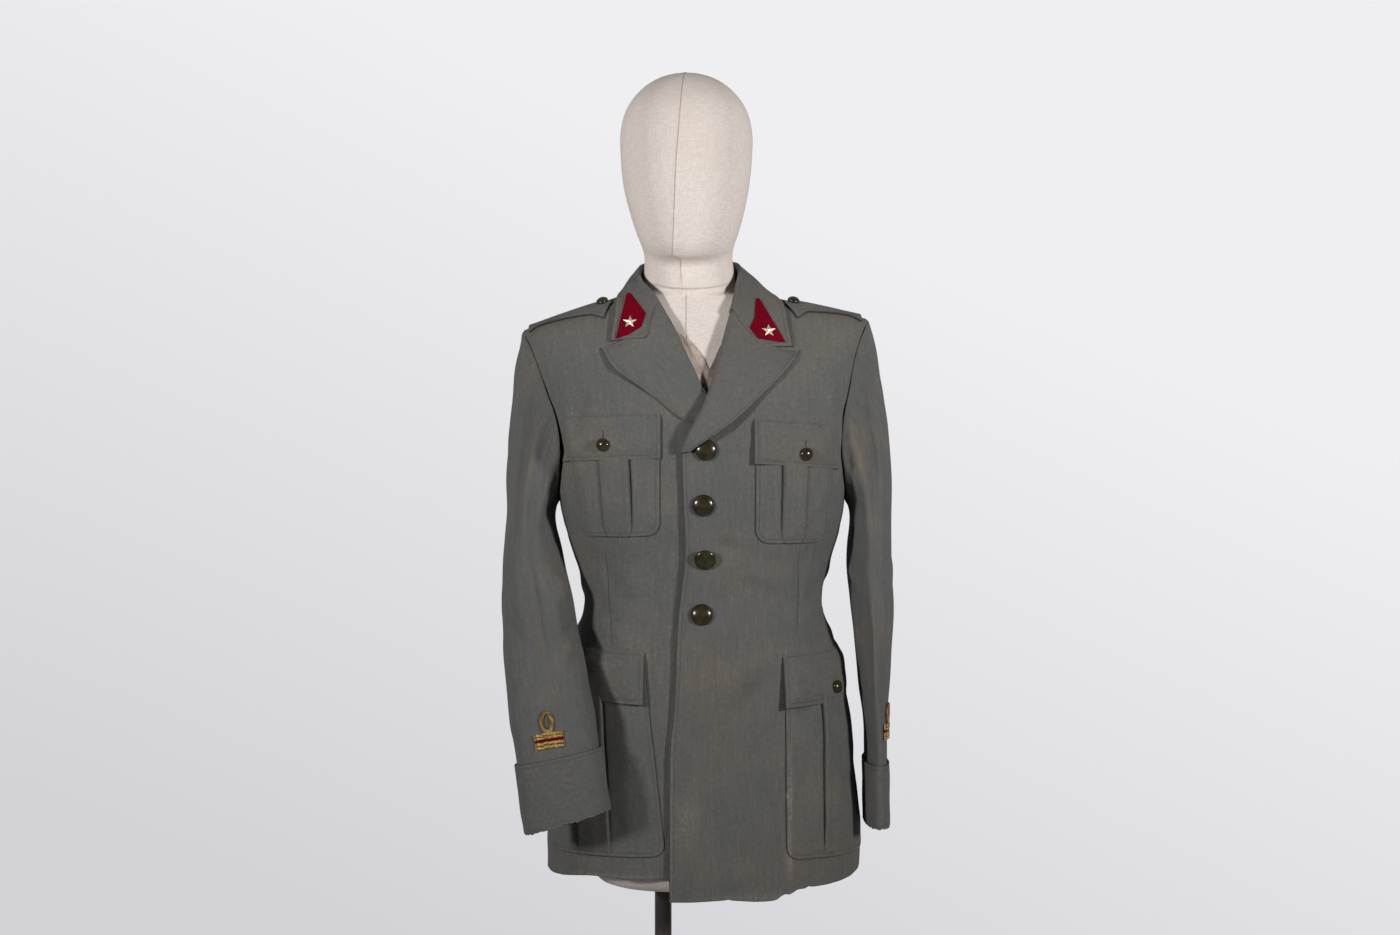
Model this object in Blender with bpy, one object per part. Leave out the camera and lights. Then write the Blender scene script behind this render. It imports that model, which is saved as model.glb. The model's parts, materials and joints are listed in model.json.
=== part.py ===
"""Military uniform tunic on a limbless dress form with a round stand.

The origin is the centre of the stand base's underside, +Z is up and the tunic faces -Y.
The viewer's right is +X, which is the wearer's left. Everything is in metres.
Sizes of the body are measured from a body axis that lies AXIS_X to the side of the pole,
and the whole figure leans a little, so its axis sways with height.
"""
import math

import bmesh
import bpy
import numpy as np
from mathutils import Vector
from mathutils.bvhtree import BVHTree

for old in list(bpy.data.objects):
    bpy.data.objects.remove(old, do_unlink=True)

# Driving dimensions
CLOTH = 0.0020
SEAM_GAP = 0.0003
LAY_GAP = 0.0008
PATCH_GAP = 0.0010
CUFF_GAP = 0.0010
AXIS_X = 0.050
UNDERARM_Z = 0.890
SHOULDER_Z = 1.116
NECKLINE_Z = 1.150
SHOULDER_DROP = 0.016
TUCK = 0.0062
POLE_RADIUS = 0.0105
BASE_RADIUS = 0.155
BASE_HEIGHT = 0.012
FORM_BOTTOM_Z = 0.420

COLOURS = {
    "uniform_cloth": ((0.105, 0.103, 0.093), 0.90, 0.0),
    "patch_cloth": ((0.260, 0.008, 0.022), 0.90, 0.0),
    "form_linen": ((0.640, 0.560, 0.470), 0.85, 0.0),
    "button": ((0.045, 0.036, 0.016), 0.25, 0.0),
    "brass": ((0.560, 0.440, 0.230), 0.35, 1.0),
    "gold_wire": ((0.520, 0.290, 0.060), 0.40, 1.0),
    "stand_metal": ((0.060, 0.048, 0.040), 0.35, 1.0),
}


def material(key):
    """The Principled material of one kind of surface."""
    if key in bpy.data.materials:
        return bpy.data.materials[key]
    colour, roughness, metallic = COLOURS[key]
    made = bpy.data.materials.new(key)
    made.use_nodes = True
    shader = made.node_tree.nodes["Principled BSDF"]
    shader.inputs["Base Color"].default_value = (*colour, 1.0)
    shader.inputs["Roughness"].default_value = roughness
    shader.inputs["Metallic"].default_value = metallic
    return made


def smooth(low, high, value):
    """Smooth step from 0 at low to 1 at high."""
    part = np.clip((value - low) / (high - low), 0.0, 1.0)
    return part * part * (3.0 - 2.0 * part)


def mix(first, second, share):
    return first + (second - first) * share


class Table:
    """Rows of named columns, read as smooth curves over the first column, with no overshoot."""

    def __init__(self, names, *rows):
        self.names = names.split()
        self.rows = np.array(rows, dtype=float)

    def __call__(self, name, at):
        xs = self.rows[:, 0]
        ys = self.rows[:, self.names.index(name)]
        at = min(max(float(at), xs[0]), xs[-1])
        step = np.diff(xs)
        rise = np.diff(ys) / step
        slopes = np.zeros(len(xs))
        slopes[0] = rise[0]
        slopes[-1] = rise[-1]
        for k in range(1, len(xs) - 1):
            if rise[k - 1] * rise[k] > 0:
                first = 2 * step[k] + step[k - 1]
                second = step[k] + 2 * step[k - 1]
                slopes[k] = (first + second) / (first / rise[k - 1] + second / rise[k])
        k = min(int(np.searchsorted(xs, at, side="right")) - 1, len(xs) - 2)
        u = (at - xs[k]) / step[k]
        near = (1 + 2 * u) * (1 - u) ** 2 * ys[k] + u * (1 - u) ** 2 * step[k] * slopes[k]
        far = u * u * (3 - 2 * u) * ys[k + 1] + u * u * (u - 1) * step[k] * slopes[k + 1]
        return near + far

    def point(self, at, *names):
        return np.array([self(name, at) for name in names])


# Level sections of the tunic's body: half width, depth to the front and to the back, squareness
BODY = Table(
    "z     half    front   back    square",
    (0.400, 0.1905, 0.1240, 0.1250, 2.60),
    (0.454, 0.1935, 0.1235, 0.1250, 2.60),
    (0.491, 0.1935, 0.1225, 0.1240, 2.60),
    (0.566, 0.1860, 0.1190, 0.1210, 2.60),
    (0.604, 0.1835, 0.1175, 0.1190, 2.60),
    (0.660, 0.1750, 0.1140, 0.1120, 2.55),
    (0.698, 0.1690, 0.1110, 0.1060, 2.50),
    (0.735, 0.1560, 0.1075, 0.0980, 2.45),
    (0.773, 0.1480, 0.1050, 0.0950, 2.40),
    (0.810, 0.1560, 0.1080, 0.0980, 2.40),
    (0.850, 0.1690, 0.1130, 0.1050, 2.60),
    (0.890, 0.1775, 0.1175, 0.1110, 2.80),
    (0.950, 0.1840, 0.1200, 0.1160, 2.90),
    (1.000, 0.1920, 0.1170, 0.1170, 2.85),
    (1.050, 0.2050, 0.1060, 0.1100, 2.75),
    (1.090, 0.2160, 0.0900, 0.0960, 2.65),
    (1.106, 0.2195, 0.0820, 0.0890, 2.60),
    (1.116, 0.2145, 0.0765, 0.0840, 2.55),
    (1.124, 0.1863, 0.0730, 0.0800, 2.45),
    (1.137, 0.1306, 0.0665, 0.0735, 2.30),
    (1.150, 0.0750, 0.0600, 0.0660, 2.00),
)
SWAY = Table("z x", (0.85, 0.0), (0.96, -0.003), (1.01, -0.005), (1.065, -0.0085), (1.11, -0.0095),
             (1.16, -0.017), (1.24, -0.019), (1.35, -0.021), (1.43, -0.021))
ARMHOLE = Table(
    "z     front_x back_x",
    (0.890, 0.1774, 0.1774),
    (0.900, 0.1760, 0.1764),
    (0.925, 0.1725, 0.1745),
    (0.955, 0.1710, 0.1745),
    (0.990, 0.1750, 0.1790),
    (1.030, 0.1860, 0.1885),
    (1.065, 0.1945, 0.1970),
    (1.090, 0.2030, 0.2055),
    (1.107, 0.2105, 0.2115),
    (1.116, 0.2145, 0.2145),
)
LEVELS = (0.430, 0.455, 0.500, 0.550, 0.600, 0.650, 0.692, 0.725, 0.755, 0.790, 0.822, 0.856,
          0.890, 0.900, 0.925, 0.955, 0.990, 1.030, 1.065, 1.090, 1.107, 1.116, 1.124, 1.133,
          1.142, 1.150)
HEM_LEFT = Table("x z", (-0.045, 0.4145), (0.030, 0.4175), (0.081, 0.4170), (0.101, 0.4210),
                 (0.127, 0.4290), (0.178, 0.4350), (0.1935, 0.4400))
HEM_RIGHT = Table("x z", (-0.1935, 0.4370), (-0.128, 0.4430), (-0.045, 0.4400), (0.030, 0.4380))
HEM_BACK_Z = 0.439
EDGE_LEFT = Table("z x", (0.400, -0.0405), (0.574, -0.0405), (0.648, -0.0350), (0.742, -0.0310),
                  (0.836, -0.0220), (0.889, -0.0240), (0.946, -0.0256), (0.984, -0.0090),
                  (1.011, 0.0055), (1.052, 0.0185), (1.119, 0.0365), (1.135, 0.0430), (1.150, 0.0490))
EDGE_RIGHT = Table("z x", (0.400, 0.0250), (0.946, 0.0250), (1.000, 0.0140), (1.030, -0.0035),
                   (1.085, -0.0305), (1.120, -0.0505), (1.135, -0.0600), (1.150, -0.0700))


SLICES = {}


def level_slice(z):
    """Half of a level section, from the centre front round to the centre back."""
    key = round(z, 6)
    if key not in SLICES:
        angle = np.linspace(0.0, math.pi, 361)
        power = 2.0 / BODY("square", z)
        across = np.clip(np.sin(angle), 0.0, 1.0) ** power
        along = np.abs(np.cos(angle)) ** power
        x = BODY("half", z) * across
        y = np.where(angle <= math.pi / 2, -BODY("front", z) * along, BODY("back", z) * along)
        girth = np.concatenate([[0.0], np.cumsum(np.hypot(np.diff(x), np.diff(y)))])
        SLICES[key] = (girth, x, y)
    return SLICES[key]


def lean(point):
    """Moves a point of the upright body to where the leaning figure has it."""
    x, y, z = point
    outward = np.clip((-x - 0.075) / 0.154, 0.0, 1.3)
    drop = SHOULDER_DROP * outward * smooth(0.96, SHOULDER_Z, z)
    return np.array([x + SWAY("x", z) + AXIS_X, y, z - drop])


def unlean(x, z):
    """The upright body's x and height for a place that is given on the leaning one."""
    upright = x - SWAY("x", z)
    outward = np.clip((-upright - 0.075) / 0.154, 0.0, 1.3)
    return upright, z + SHOULDER_DROP * outward * smooth(0.96, SHOULDER_Z, z)


def upright_skin(girth, z):
    side = -1.0 if girth < 0 else 1.0
    reach, x, y = level_slice(z)
    along = abs(girth)
    if along > reach[-1]:
        along = 2 * reach[-1] - along
        side = -side
    return np.array([side * np.interp(along, reach, x), np.interp(along, reach, y), z])


def skin(girth, z, out=0.0):
    """A point of the tunic's outside, moved out along its normal."""
    here = lean(upright_skin(girth, z))
    if out == 0.0:
        return here
    step = 0.0015
    across = lean(upright_skin(girth + step, z)) - lean(upright_skin(girth - step, z))
    up = lean(upright_skin(girth, min(z + step, NECKLINE_Z))) - lean(upright_skin(girth, z - step))
    normal = np.cross(across, up)
    return here + normal / np.linalg.norm(normal) * out


def girth_of_x(x, z):
    reach, xs, _ = level_slice(z)
    half = len(xs) // 2 + 1
    return math.copysign(np.interp(abs(x), xs[:half], reach[:half]), x)


def side_girth(z):
    reach, xs, _ = level_slice(z)
    return reach[len(xs) // 2]


def back_girth_of_x(x, z):
    reach, xs, _ = level_slice(z)
    half = len(xs) // 2
    return math.copysign(np.interp(abs(x), xs[half:][::-1], reach[half:][::-1]), x)


def front_place(x, z, out):
    """The place on the front that shows at x and z, both measured on the leaning figure."""
    upright, height = unlean(x, z)
    return skin(girth_of_x(upright, height), height, out)


def snap(x, y, z, out):
    """The place on the tunic's outside in the direction of x and y at a level."""
    reach, xs, ys = level_slice(z)
    wanted = math.atan2(abs(x), -y)
    angles = np.arctan2(xs, -ys)
    return skin(math.copysign(np.interp(wanted, angles, reach), x), z, out)


def top_place(x, y, out):
    """The place on top of a shoulder over x and y of the upright body."""
    low, high = 1.060, NECKLINE_Z
    for _ in range(40):
        z = (low + high) / 2
        depth = BODY("front", z) if y < 0 else BODY("back", z)
        power = BODY("square", z)
        inside = (abs(x) / BODY("half", z)) ** power + (abs(y) / depth) ** power < 1.0
        if inside:
            low = z
        else:
            high = z
    return snap(x, y, low, out)


def tuck(x, z):
    """How far the under front lies behind the over front, near the centre."""
    return TUCK * smooth(-0.095, -0.056, x) * (1.0 - smooth(1.060, 1.110, z))


def add_object(name, points, faces, slot):
    """An object whose faces point out, from plain points and faces."""
    mesh = bpy.data.meshes.new(name)
    mesh.from_pydata([tuple(point) for point in points], [], faces)
    work = bmesh.new()
    work.from_mesh(mesh)
    bmesh.ops.recalc_face_normals(work, faces=work.faces)
    if work.calc_volume(signed=True) < 0:
        bmesh.ops.reverse_faces(work, faces=work.faces)
    work.to_mesh(mesh)
    work.free()
    mesh.shade_smooth()
    mesh.set_sharp_from_angle(angle=math.radians(40))
    mesh.materials.append(material(slot))
    made = bpy.data.objects.new(name, mesh)
    bpy.context.scene.collection.objects.link(made)
    return made


def grid_faces(rows, columns, start, closed):
    faces = []
    for row in range(rows - 1):
        for column in range(columns if closed else columns - 1):
            beside = (column + 1) % columns
            faces.append((start + row * columns + column, start + row * columns + beside,
                          start + (row + 1) * columns + beside, start + (row + 1) * columns + column))
    return faces


def wall(name, outer, inner, slot="uniform_cloth", closed=False):
    """A cloth wall between two grids of points. A closed one is a tube along its rows."""
    outer = np.asarray(outer)
    inner = np.asarray(inner)
    rows, columns = outer.shape[:2]
    count = rows * columns
    faces = grid_faces(rows, columns, 0, closed)
    faces += [face[::-1] for face in grid_faces(rows, columns, count, closed)]
    for row in (0, rows - 1):
        for column in range(columns if closed else columns - 1):
            near = row * columns + column
            far = row * columns + (column + 1) % columns
            faces.append((near, far, count + far, count + near)[:: 1 if row else -1])
    if not closed:
        for column in (0, columns - 1):
            for row in range(rows - 1):
                near = row * columns + column
                far = near + columns
                faces.append((near, far, count + far, count + near)[:: -1 if column else 1])
    points = np.concatenate([outer.reshape(-1, 3), inner.reshape(-1, 3)])
    return add_object(name, points, faces, slot)


def sheet_normals(grid, closed=False):
    """Normals of a grid of points, from its neighbours."""
    grid = np.asarray(grid)
    down = np.gradient(grid, axis=0)
    if closed:
        across = np.roll(grid, -1, axis=1) - np.roll(grid, 1, axis=1)
    else:
        across = np.gradient(grid, axis=1)
    normal = np.cross(across, down)
    return normal / np.linalg.norm(normal, axis=2, keepdims=True)


def panel(name, girths, hem, set_back):
    """A body panel: girths gives both ends of a level, hem its lower edge."""
    outer = []
    inner = []
    for z in LEVELS:
        start, end, columns = girths(z)
        upper_row = []
        lower_row = []
        for share in np.linspace(0.0, 1.0, columns):
            girth = mix(start, end, share)
            x = upright_skin(girth, z)[0]
            height = z + (hem(x) - LEVELS[0]) * (1.0 - smooth(LEVELS[0], 0.60, z))
            if height != z:
                girth = mix(*girths(height)[:2], share)
            out = -set_back(x, z)
            upper_row.append(skin(girth, height, out))
            lower_row.append(skin(girth, height, out - CLOTH))
        outer.append(upper_row)
        inner.append(lower_row)
    return wall(name, outer, inner)


def flat(x, z):
    return 0.0


FRONT_COLUMNS = 12
BACK_COLUMNS = 9


def left_front_girths(z):
    """The over front, from its edge or roll line to the side seam, armhole or shoulder seam."""
    edge = unlean(EDGE_LEFT("x", z), z)[0]
    end = side_girth(z)
    if UNDERARM_Z < z < SHOULDER_Z:
        end = girth_of_x(ARMHOLE("front_x", z), z)
    return girth_of_x(edge, z), end - SEAM_GAP / 2, FRONT_COLUMNS


def right_front_girths(z):
    """The under front, in the same way."""
    edge = unlean(EDGE_RIGHT("x", z), z)[0]
    end = -side_girth(z)
    if UNDERARM_Z < z < SHOULDER_Z:
        end = -girth_of_x(ARMHOLE("front_x", z), z)
    return girth_of_x(edge, z), end + SEAM_GAP / 2, FRONT_COLUMNS


def back_girths(side):
    def ends(z):
        reach = level_slice(z)[0]
        start = side_girth(z)
        if UNDERARM_Z < z < SHOULDER_Z:
            start = back_girth_of_x(ARMHOLE("back_x", z), z)
        return side * (start + SEAM_GAP / 2), side * (reach[-1] - SEAM_GAP / 2), BACK_COLUMNS
    return ends


def body_panels():
    panel("front_left", left_front_girths, lambda x: HEM_LEFT("z", x), flat)
    panel("front_right", right_front_girths, lambda x: HEM_RIGHT("z", x), tuck)
    hem_back = Table("x z", (-0.1935, 0.4370), (-0.100, HEM_BACK_Z), (0.100, HEM_BACK_Z),
                     (0.1935, 0.4400))
    for name, side in (("back_left", 1), ("back_right", -1)):
        panel(name, back_girths(side), lambda x: hem_back("z", x), flat)


def laid(name, rows, lift, thick=CLOTH, slot="uniform_cloth"):
    """A piece that lies on the front: rows of (x, z) places, lift gives its outside's height."""
    outer = []
    inner = []
    for row in rows:
        heights = [lift(x, z) for x, z in row]
        outer.append([front_place(x, z, high) for (x, z), high in zip(row, heights)])
        inner.append([front_place(x, z, high - thick) for (x, z), high in zip(row, heights)])
    return wall(name, outer, inner, slot)


# Lapels, from the break at the bottom to the gorge at the top: roll line, middle and free edge
LAPEL_LEFT = Table(
    "part roll_x  roll_z  mid_x   mid_z   edge_x  edge_z  lift",
    (0.00, -0.0250, 0.9500, -0.0200, 0.9505, -0.0140, 0.9515, 0.0060),
    (0.09, -0.0190, 0.9640, -0.0080, 0.9620, 0.0050, 0.9645, 0.0100),
    (0.20, -0.0100, 0.9830, 0.0060, 0.9780, 0.0270, 0.9790, 0.0102),
    (0.45, 0.0040, 1.0110, 0.0340, 1.0100, 0.0680, 1.0160, 0.0075),
    (0.72, 0.0170, 1.0520, 0.0530, 1.0440, 0.1000, 1.0490, 0.0036),
    (0.88, 0.0255, 1.0860, 0.0620, 1.0620, 0.1110, 1.0640, 0.0030),
    (1.00, 0.0340, 1.1160, 0.0650, 1.0705, 0.1160, 1.0720, 0.0030),
)
LAPEL_RIGHT = Table(
    "part roll_x  roll_z  mid_x   mid_z   edge_x  edge_z  lift",
    (0.00, 0.0080, 1.0060, 0.0030, 0.9930, -0.0020, 0.9810, 0.0024),
    (0.22, -0.0020, 1.0300, -0.0180, 1.0060, -0.0250, 0.9900, 0.0026),
    (0.50, -0.0160, 1.0600, -0.0420, 1.0330, -0.0610, 1.0180, 0.0036),
    (0.78, -0.0300, 1.0870, -0.0600, 1.0620, -0.1080, 1.0510, 0.0032),
    (0.90, -0.0400, 1.1060, -0.0660, 1.0760, -0.1170, 1.0640, 0.0030),
    (1.00, -0.0530, 1.1225, -0.0680, 1.0840, -0.1230, 1.0745, 0.0030),
)
ROLL_LIFT = 0.0030


def lapel(name, table, set_back):
    """A lapel that is folded back over its front, fuller along its roll."""
    rows = []
    lifts = {}
    for part in np.linspace(0.0, 1.0, 12):
        roll = table.point(part, "roll_x", "roll_z")
        mid = table.point(part, "mid_x", "mid_z")
        edge = table.point(part, "edge_x", "edge_z")
        row = [tuple(mix(roll, mid, share)) for share in (0.0, 0.12, 0.55)]
        row += [tuple(mix(mid, edge, share)) for share in (0.0, 0.5, 1.0)]
        for share, place in zip((0.4, 1.0, 0.5, 0.2, 0.05, 0.0), row):
            roll_lift = ROLL_LIFT * share * smooth(0.05, 0.35, part)
            lifts[place] = table("lift", part) + roll_lift - set_back(*place)
        rows.append(row)
    laid(name, rows, lambda x, z: lifts[(x, z)])


# Collar stations from the centre back to the front end. Roll and edge lie on the upright body,
# and the columns named seen are places seen from the front, for the end that lies on the chest.
COLLAR_LEFT = Table(
    "part roll_x  roll_y   roll_z  edge_x  edge_y   foot_z  roll_seen_x roll_seen_z mid_seen_x"
    " mid_seen_z edge_seen_x edge_seen_z",
    (0.00, 0.0000, 0.0690, 1.1950, 0.0000, 0.0760, 1.1530, 0.046, 1.160, 0.070, 1.140, 0.092, 1.138),
    (0.20, 0.0400, 0.0560, 1.1945, 0.0480, 0.0640, 1.1530, 0.046, 1.160, 0.070, 1.140, 0.092, 1.138),
    (0.40, 0.0610, 0.0200, 1.1890, 0.0840, 0.0250, 1.1530, 0.046, 1.160, 0.070, 1.140, 0.092, 1.138),
    (0.55, 0.0640, -0.012, 1.1770, 0.0950, -0.014, 1.1530, 0.046, 1.160, 0.070, 1.140, 0.092, 1.138),
    (0.75, 0.0590, -0.045, 1.1560, 0.1050, -0.042, 1.1450, 0.043, 1.148, 0.067, 1.125, 0.097, 1.128),
    (0.90, 0.0530, -0.066, 1.1360, 0.1140, -0.060, 1.1300, 0.038, 1.132, 0.0655, 1.096, 0.102, 1.104),
    (1.00, 0.0465, -0.076, 1.1210, 0.1165, -0.070, 1.1160, 0.0345, 1.1215, 0.0650, 1.0755, 0.107, 1.0770),
)
COLLAR_RIGHT = Table(
    "part roll_x  roll_y   roll_z  edge_x  edge_y   foot_z  roll_seen_x roll_seen_z mid_seen_x"
    " mid_seen_z edge_seen_x edge_seen_z",
    (0.00, 0.0000, 0.0690, 1.1950, 0.0000, 0.0760, 1.1530, -0.066, 1.160, -0.078, 1.150, -0.094, 1.145),
    (0.20, 0.0400, 0.0560, 1.1940, 0.0480, 0.0640, 1.1530, -0.066, 1.160, -0.078, 1.150, -0.094, 1.145),
    (0.40, 0.0610, 0.0200, 1.1860, 0.0780, 0.0250, 1.1530, -0.066, 1.160, -0.078, 1.150, -0.094, 1.145),
    (0.55, 0.0630, -0.012, 1.1740, 0.0830, -0.014, 1.1530, -0.066, 1.160, -0.078, 1.150, -0.094, 1.145),
    (0.75, 0.0590, -0.043, 1.1600, 0.0900, -0.042, 1.1500, -0.0630, 1.152, -0.078, 1.138, -0.100, 1.137),
    (0.90, 0.0530, -0.057, 1.1460, 0.0980, -0.058, 1.1400, -0.0600, 1.140, -0.074, 1.112, -0.107, 1.114),
    (1.00, 0.0490, -0.066, 1.1350, 0.1020, -0.066, 1.130, -0.0550, 1.1290, -0.0685, 1.0885, -0.112, 1.0835),
)
FOLD_RADIUS = 0.0022
ROLL_OUT = 0.0060
EDGE_OUT = 0.0030
FALL_OUT = 0.0037
STAND_DROP = 0.0050


def clear_of_front(point):
    """Brings a point of the fall forward where it would lie too near the chest."""
    if point[1] < -0.025 and point[2] < NECKLINE_Z - 0.002:
        x = point[0] - AXIS_X
        surface = front_place(x, point[2], 0.0)
        normal = front_place(x, point[2], 0.002) - surface
        facing = max(-normal[1] / 0.002, 0.35)
        point = point.copy()
        point[1] = min(point[1], surface[1] - FALL_OUT / facing)
    return point


def collar_profile(table, part, side):
    """One station of the collar: up the stand, over the roll and down the fall."""
    front = smooth(0.72, 0.93, part)
    roll_x, roll_y, roll_z = table.point(part, "roll_x", "roll_y", "roll_z")
    seen = table.point(part, "roll_seen_x", "roll_seen_z")
    crest = mix(lean((side * roll_x, roll_y, roll_z)), front_place(*seen, ROLL_OUT), front)
    edge_x, edge_y = table.point(part, "edge_x", "edge_y")
    seen = table.point(part, "edge_seen_x", "edge_seen_z")
    edge = mix(top_place(side * edge_x, edge_y, EDGE_OUT), front_place(*seen, EDGE_OUT), front)
    edge = clear_of_front(edge)
    seen = table.point(part, "mid_seen_x", "mid_seen_z")
    middle = mix(crest, edge, 0.5)
    outward = edge - crest
    outward[2] = 0.0
    outward /= np.linalg.norm(outward)
    middle = mix(middle + outward * 0.0030 + (0.0, 0.0, 0.0020),
                 front_place(*seen, EDGE_OUT + 0.0008), front)
    inside = crest - outward * FOLD_RADIUS - (0.0, 0.0, FOLD_RADIUS)
    outside = crest + outward * FOLD_RADIUS - (0.0, 0.0, FOLD_RADIUS)
    low = min(table("foot_z", part), NECKLINE_Z - 0.0001)
    foot = snap(side * roll_x, roll_y, low, -0.0010) + (0.0, 0.0, table("foot_z", part) - low)
    foot = mix(foot, inside - (0.0, 0.0, STAND_DROP), smooth(0.55, 0.80, part))
    upper_fall = clear_of_front(mix(outside, middle, 0.45) + outward * 0.0006)
    middle = clear_of_front(middle)
    lower_fall = clear_of_front(mix(middle, edge, 0.5))
    return [foot, mix(foot, inside, 0.55), inside, crest, outside, upper_fall, middle,
            lower_fall, edge]


def collar():
    parts = np.linspace(0.0, 1.0, 12)
    stations = [collar_profile(COLLAR_RIGHT, part, -1) for part in parts[::-1]]
    stations += [collar_profile(COLLAR_LEFT, part, 1) for part in parts[1:]]
    stations = np.array(stations)
    normals = sheet_normals(stations)
    half = CLOTH / 2
    return wall("collar", stations + normals * half, stations - normals * half)


# Patch pockets: left and right edges seen from the front, or as girths round the side. The edges
# drift sideways towards the bottom, and the pleat lies between two shares of the width.
POCKETS = {
    "chest_pocket_right": dict(left=-0.1660, right=-0.0520, top=0.9770, bottom=0.8490,
                               drift=(0.0160, 0.0), pleat=(0.34, 0.66), girth=False),
    "chest_pocket_left": dict(left=0.0620, right=0.1570, top=0.9690, bottom=0.8410,
                              drift=(0.0, -0.0060), pleat=(0.36, 0.66), girth=False),
    "hip_pocket_right": dict(left=-0.2200, right=-0.0710, top=0.6920, bottom=0.4680,
                             drift=(0.0, 0.0260), pleat=(0.38, 0.62), girth=True),
    "hip_pocket_left": dict(left=0.0990, right=0.2460, top=0.6920, bottom=0.4640,
                            drift=(0.0, 0.0), pleat=(0.35, 0.62), girth=True),
}
POCKET_CORNER = 0.0170
CORNER_STEPS = (0.0, 0.0015, 0.0055, 0.0110)
PLEAT_RISE = 0.0020
PLEAT_SLOPE = 0.030


def pocket(name, left, right, top, bottom, drift, pleat, girth):
    """A patch pocket with rounded lower corners and a box pleat, raised as a band down it."""
    near, far = pleat
    lines = [near - PLEAT_SLOPE, near, far, far + PLEAT_SLOPE]
    even = np.linspace(0.0, 1.0, 13 if girth else 8)
    shares = sorted(lines + [share for share in even if min(abs(share - line) for line in lines)
                             > PLEAT_SLOPE])
    levels = [top] + [z for z in LEVELS[::-1] if bottom + POCKET_CORNER < z < top - 0.004]
    levels += [bottom + POCKET_CORNER] + [bottom + step for step in CORNER_STEPS[::-1]]
    outer = []
    inner = []
    for z in levels:
        height = min(z - bottom, POCKET_CORNER)
        inset = POCKET_CORNER - math.sqrt(POCKET_CORNER ** 2 - (POCKET_CORNER - height) ** 2)
        down = (top - z) / (top - bottom)
        low = left + inset + drift[0] * down
        high = right - inset + drift[1] * down
        outer_row = []
        inner_row = []
        for share in shares:
            across = mix(low, high, share)
            place = skin if girth else front_place
            band = PLEAT_RISE if near <= share <= far else 0.0
            rise = LAY_GAP + CLOTH + band * (1.0 - smooth(0.80, 1.0, down) * 0.6)
            outer_row.append(place(across, z, rise))
            inner_row.append(place(across, z, LAY_GAP))
        outer.append(outer_row)
        inner.append(inner_row)
    wall(name, outer, inner)


# Flaps: four corners as left x, right x, top z and bottom z at each end
FLAPS = {
    "chest_flap_right": dict(left=-0.1680, right=-0.0510, top=(0.9950, 0.9970),
                             bottom=(0.9390, 0.9420), girth=False, lean_in=0.003),
    "chest_flap_left": dict(left=0.0600, right=0.1585, top=(0.9900, 0.9850),
                            bottom=(0.9360, 0.9300), girth=False, lean_in=-0.003),
    "hip_flap_right": dict(left=-0.2260, right=-0.0710, top=(0.7150, 0.7110),
                           bottom=(0.6540, 0.6480), girth=True, lean_in=0.009),
    "hip_flap_left": dict(left=0.0960, right=0.2560, top=(0.7070, 0.7170),
                          bottom=(0.6430, 0.6540), girth=True, lean_in=-0.009),
}
FLAP_RISE = 2 * LAY_GAP + 2 * CLOTH + PLEAT_RISE


def flap(name, left, right, top, bottom, girth, lean_in):
    """A pocket flap: sewn down along its top, and lying over the pleat below."""
    outer = []
    inner = []
    for down in (0.0, 0.12, 0.30, 0.65, 1.0):
        outer_row = []
        inner_row = []
        for share in np.linspace(0.0, 1.0, 12 if girth else 8):
            spread = lean_in * down
            across = mix(left - max(spread, 0.0), right - min(spread, 0.0), share)
            z = mix(mix(*top, share), mix(*bottom, share), down)
            rise = mix(LAY_GAP + CLOTH, FLAP_RISE, smooth(0.0, 0.28, down))
            if girth:
                outer_row.append(skin(across, z, rise))
                inner_row.append(skin(across, z, rise - CLOTH))
            else:
                outer_row.append(front_place(across, z, rise))
                inner_row.append(front_place(across, z, rise - CLOTH))
        outer.append(outer_row)
        inner.append(inner_row)
    wall(name, outer, inner)


def frame_at(ahead):
    """The directions across, up and ahead of something that faces ahead."""
    ahead = ahead / np.linalg.norm(ahead)
    across = np.cross(ahead, (0.0, 0.0, 1.0))
    across /= np.linalg.norm(across)
    return across, np.cross(across, ahead), ahead


BUTTON_PROFILE = ((0.30, 0.00), (0.97, 0.10), (1.00, 0.26), (0.90, 0.52), (0.66, 0.80), (0.34, 0.96))


def button(name, place, ahead, diameter, height, tilt=0.0):
    """A domed button with a flat underside, tipped up or down by tilt."""
    across, up, ahead = frame_at(ahead)
    if tilt:
        tipped = math.cos(tilt) * ahead + math.sin(tilt) * up
        up = math.cos(tilt) * up - math.sin(tilt) * ahead
        ahead = tipped
    sides = 12
    points = [place]
    for radius, rise in BUTTON_PROFILE:
        for k in range(sides):
            angle = 2 * math.pi * k / sides
            points.append(place + ahead * rise * height + (across * math.cos(angle)
                          + up * math.sin(angle)) * radius * diameter / 2)
    points.append(place + ahead * height)
    last = len(points) - 1
    faces = []
    for k in range(sides):
        beside = (k + 1) % sides
        faces.append((0, 1 + beside, 1 + k))
        for ring in range(len(BUTTON_PROFILE) - 1):
            low = 1 + ring * sides
            faces.append((low + k, low + beside, low + sides + beside, low + sides + k))
        top = last - sides
        faces.append((top + k, top + beside, last))
    add_object(name, points, faces, "button")


def outward_at(make, out):
    """The place and the outward direction of a laid point."""
    near = make(out)
    return near, make(out + 0.002) - near


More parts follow.
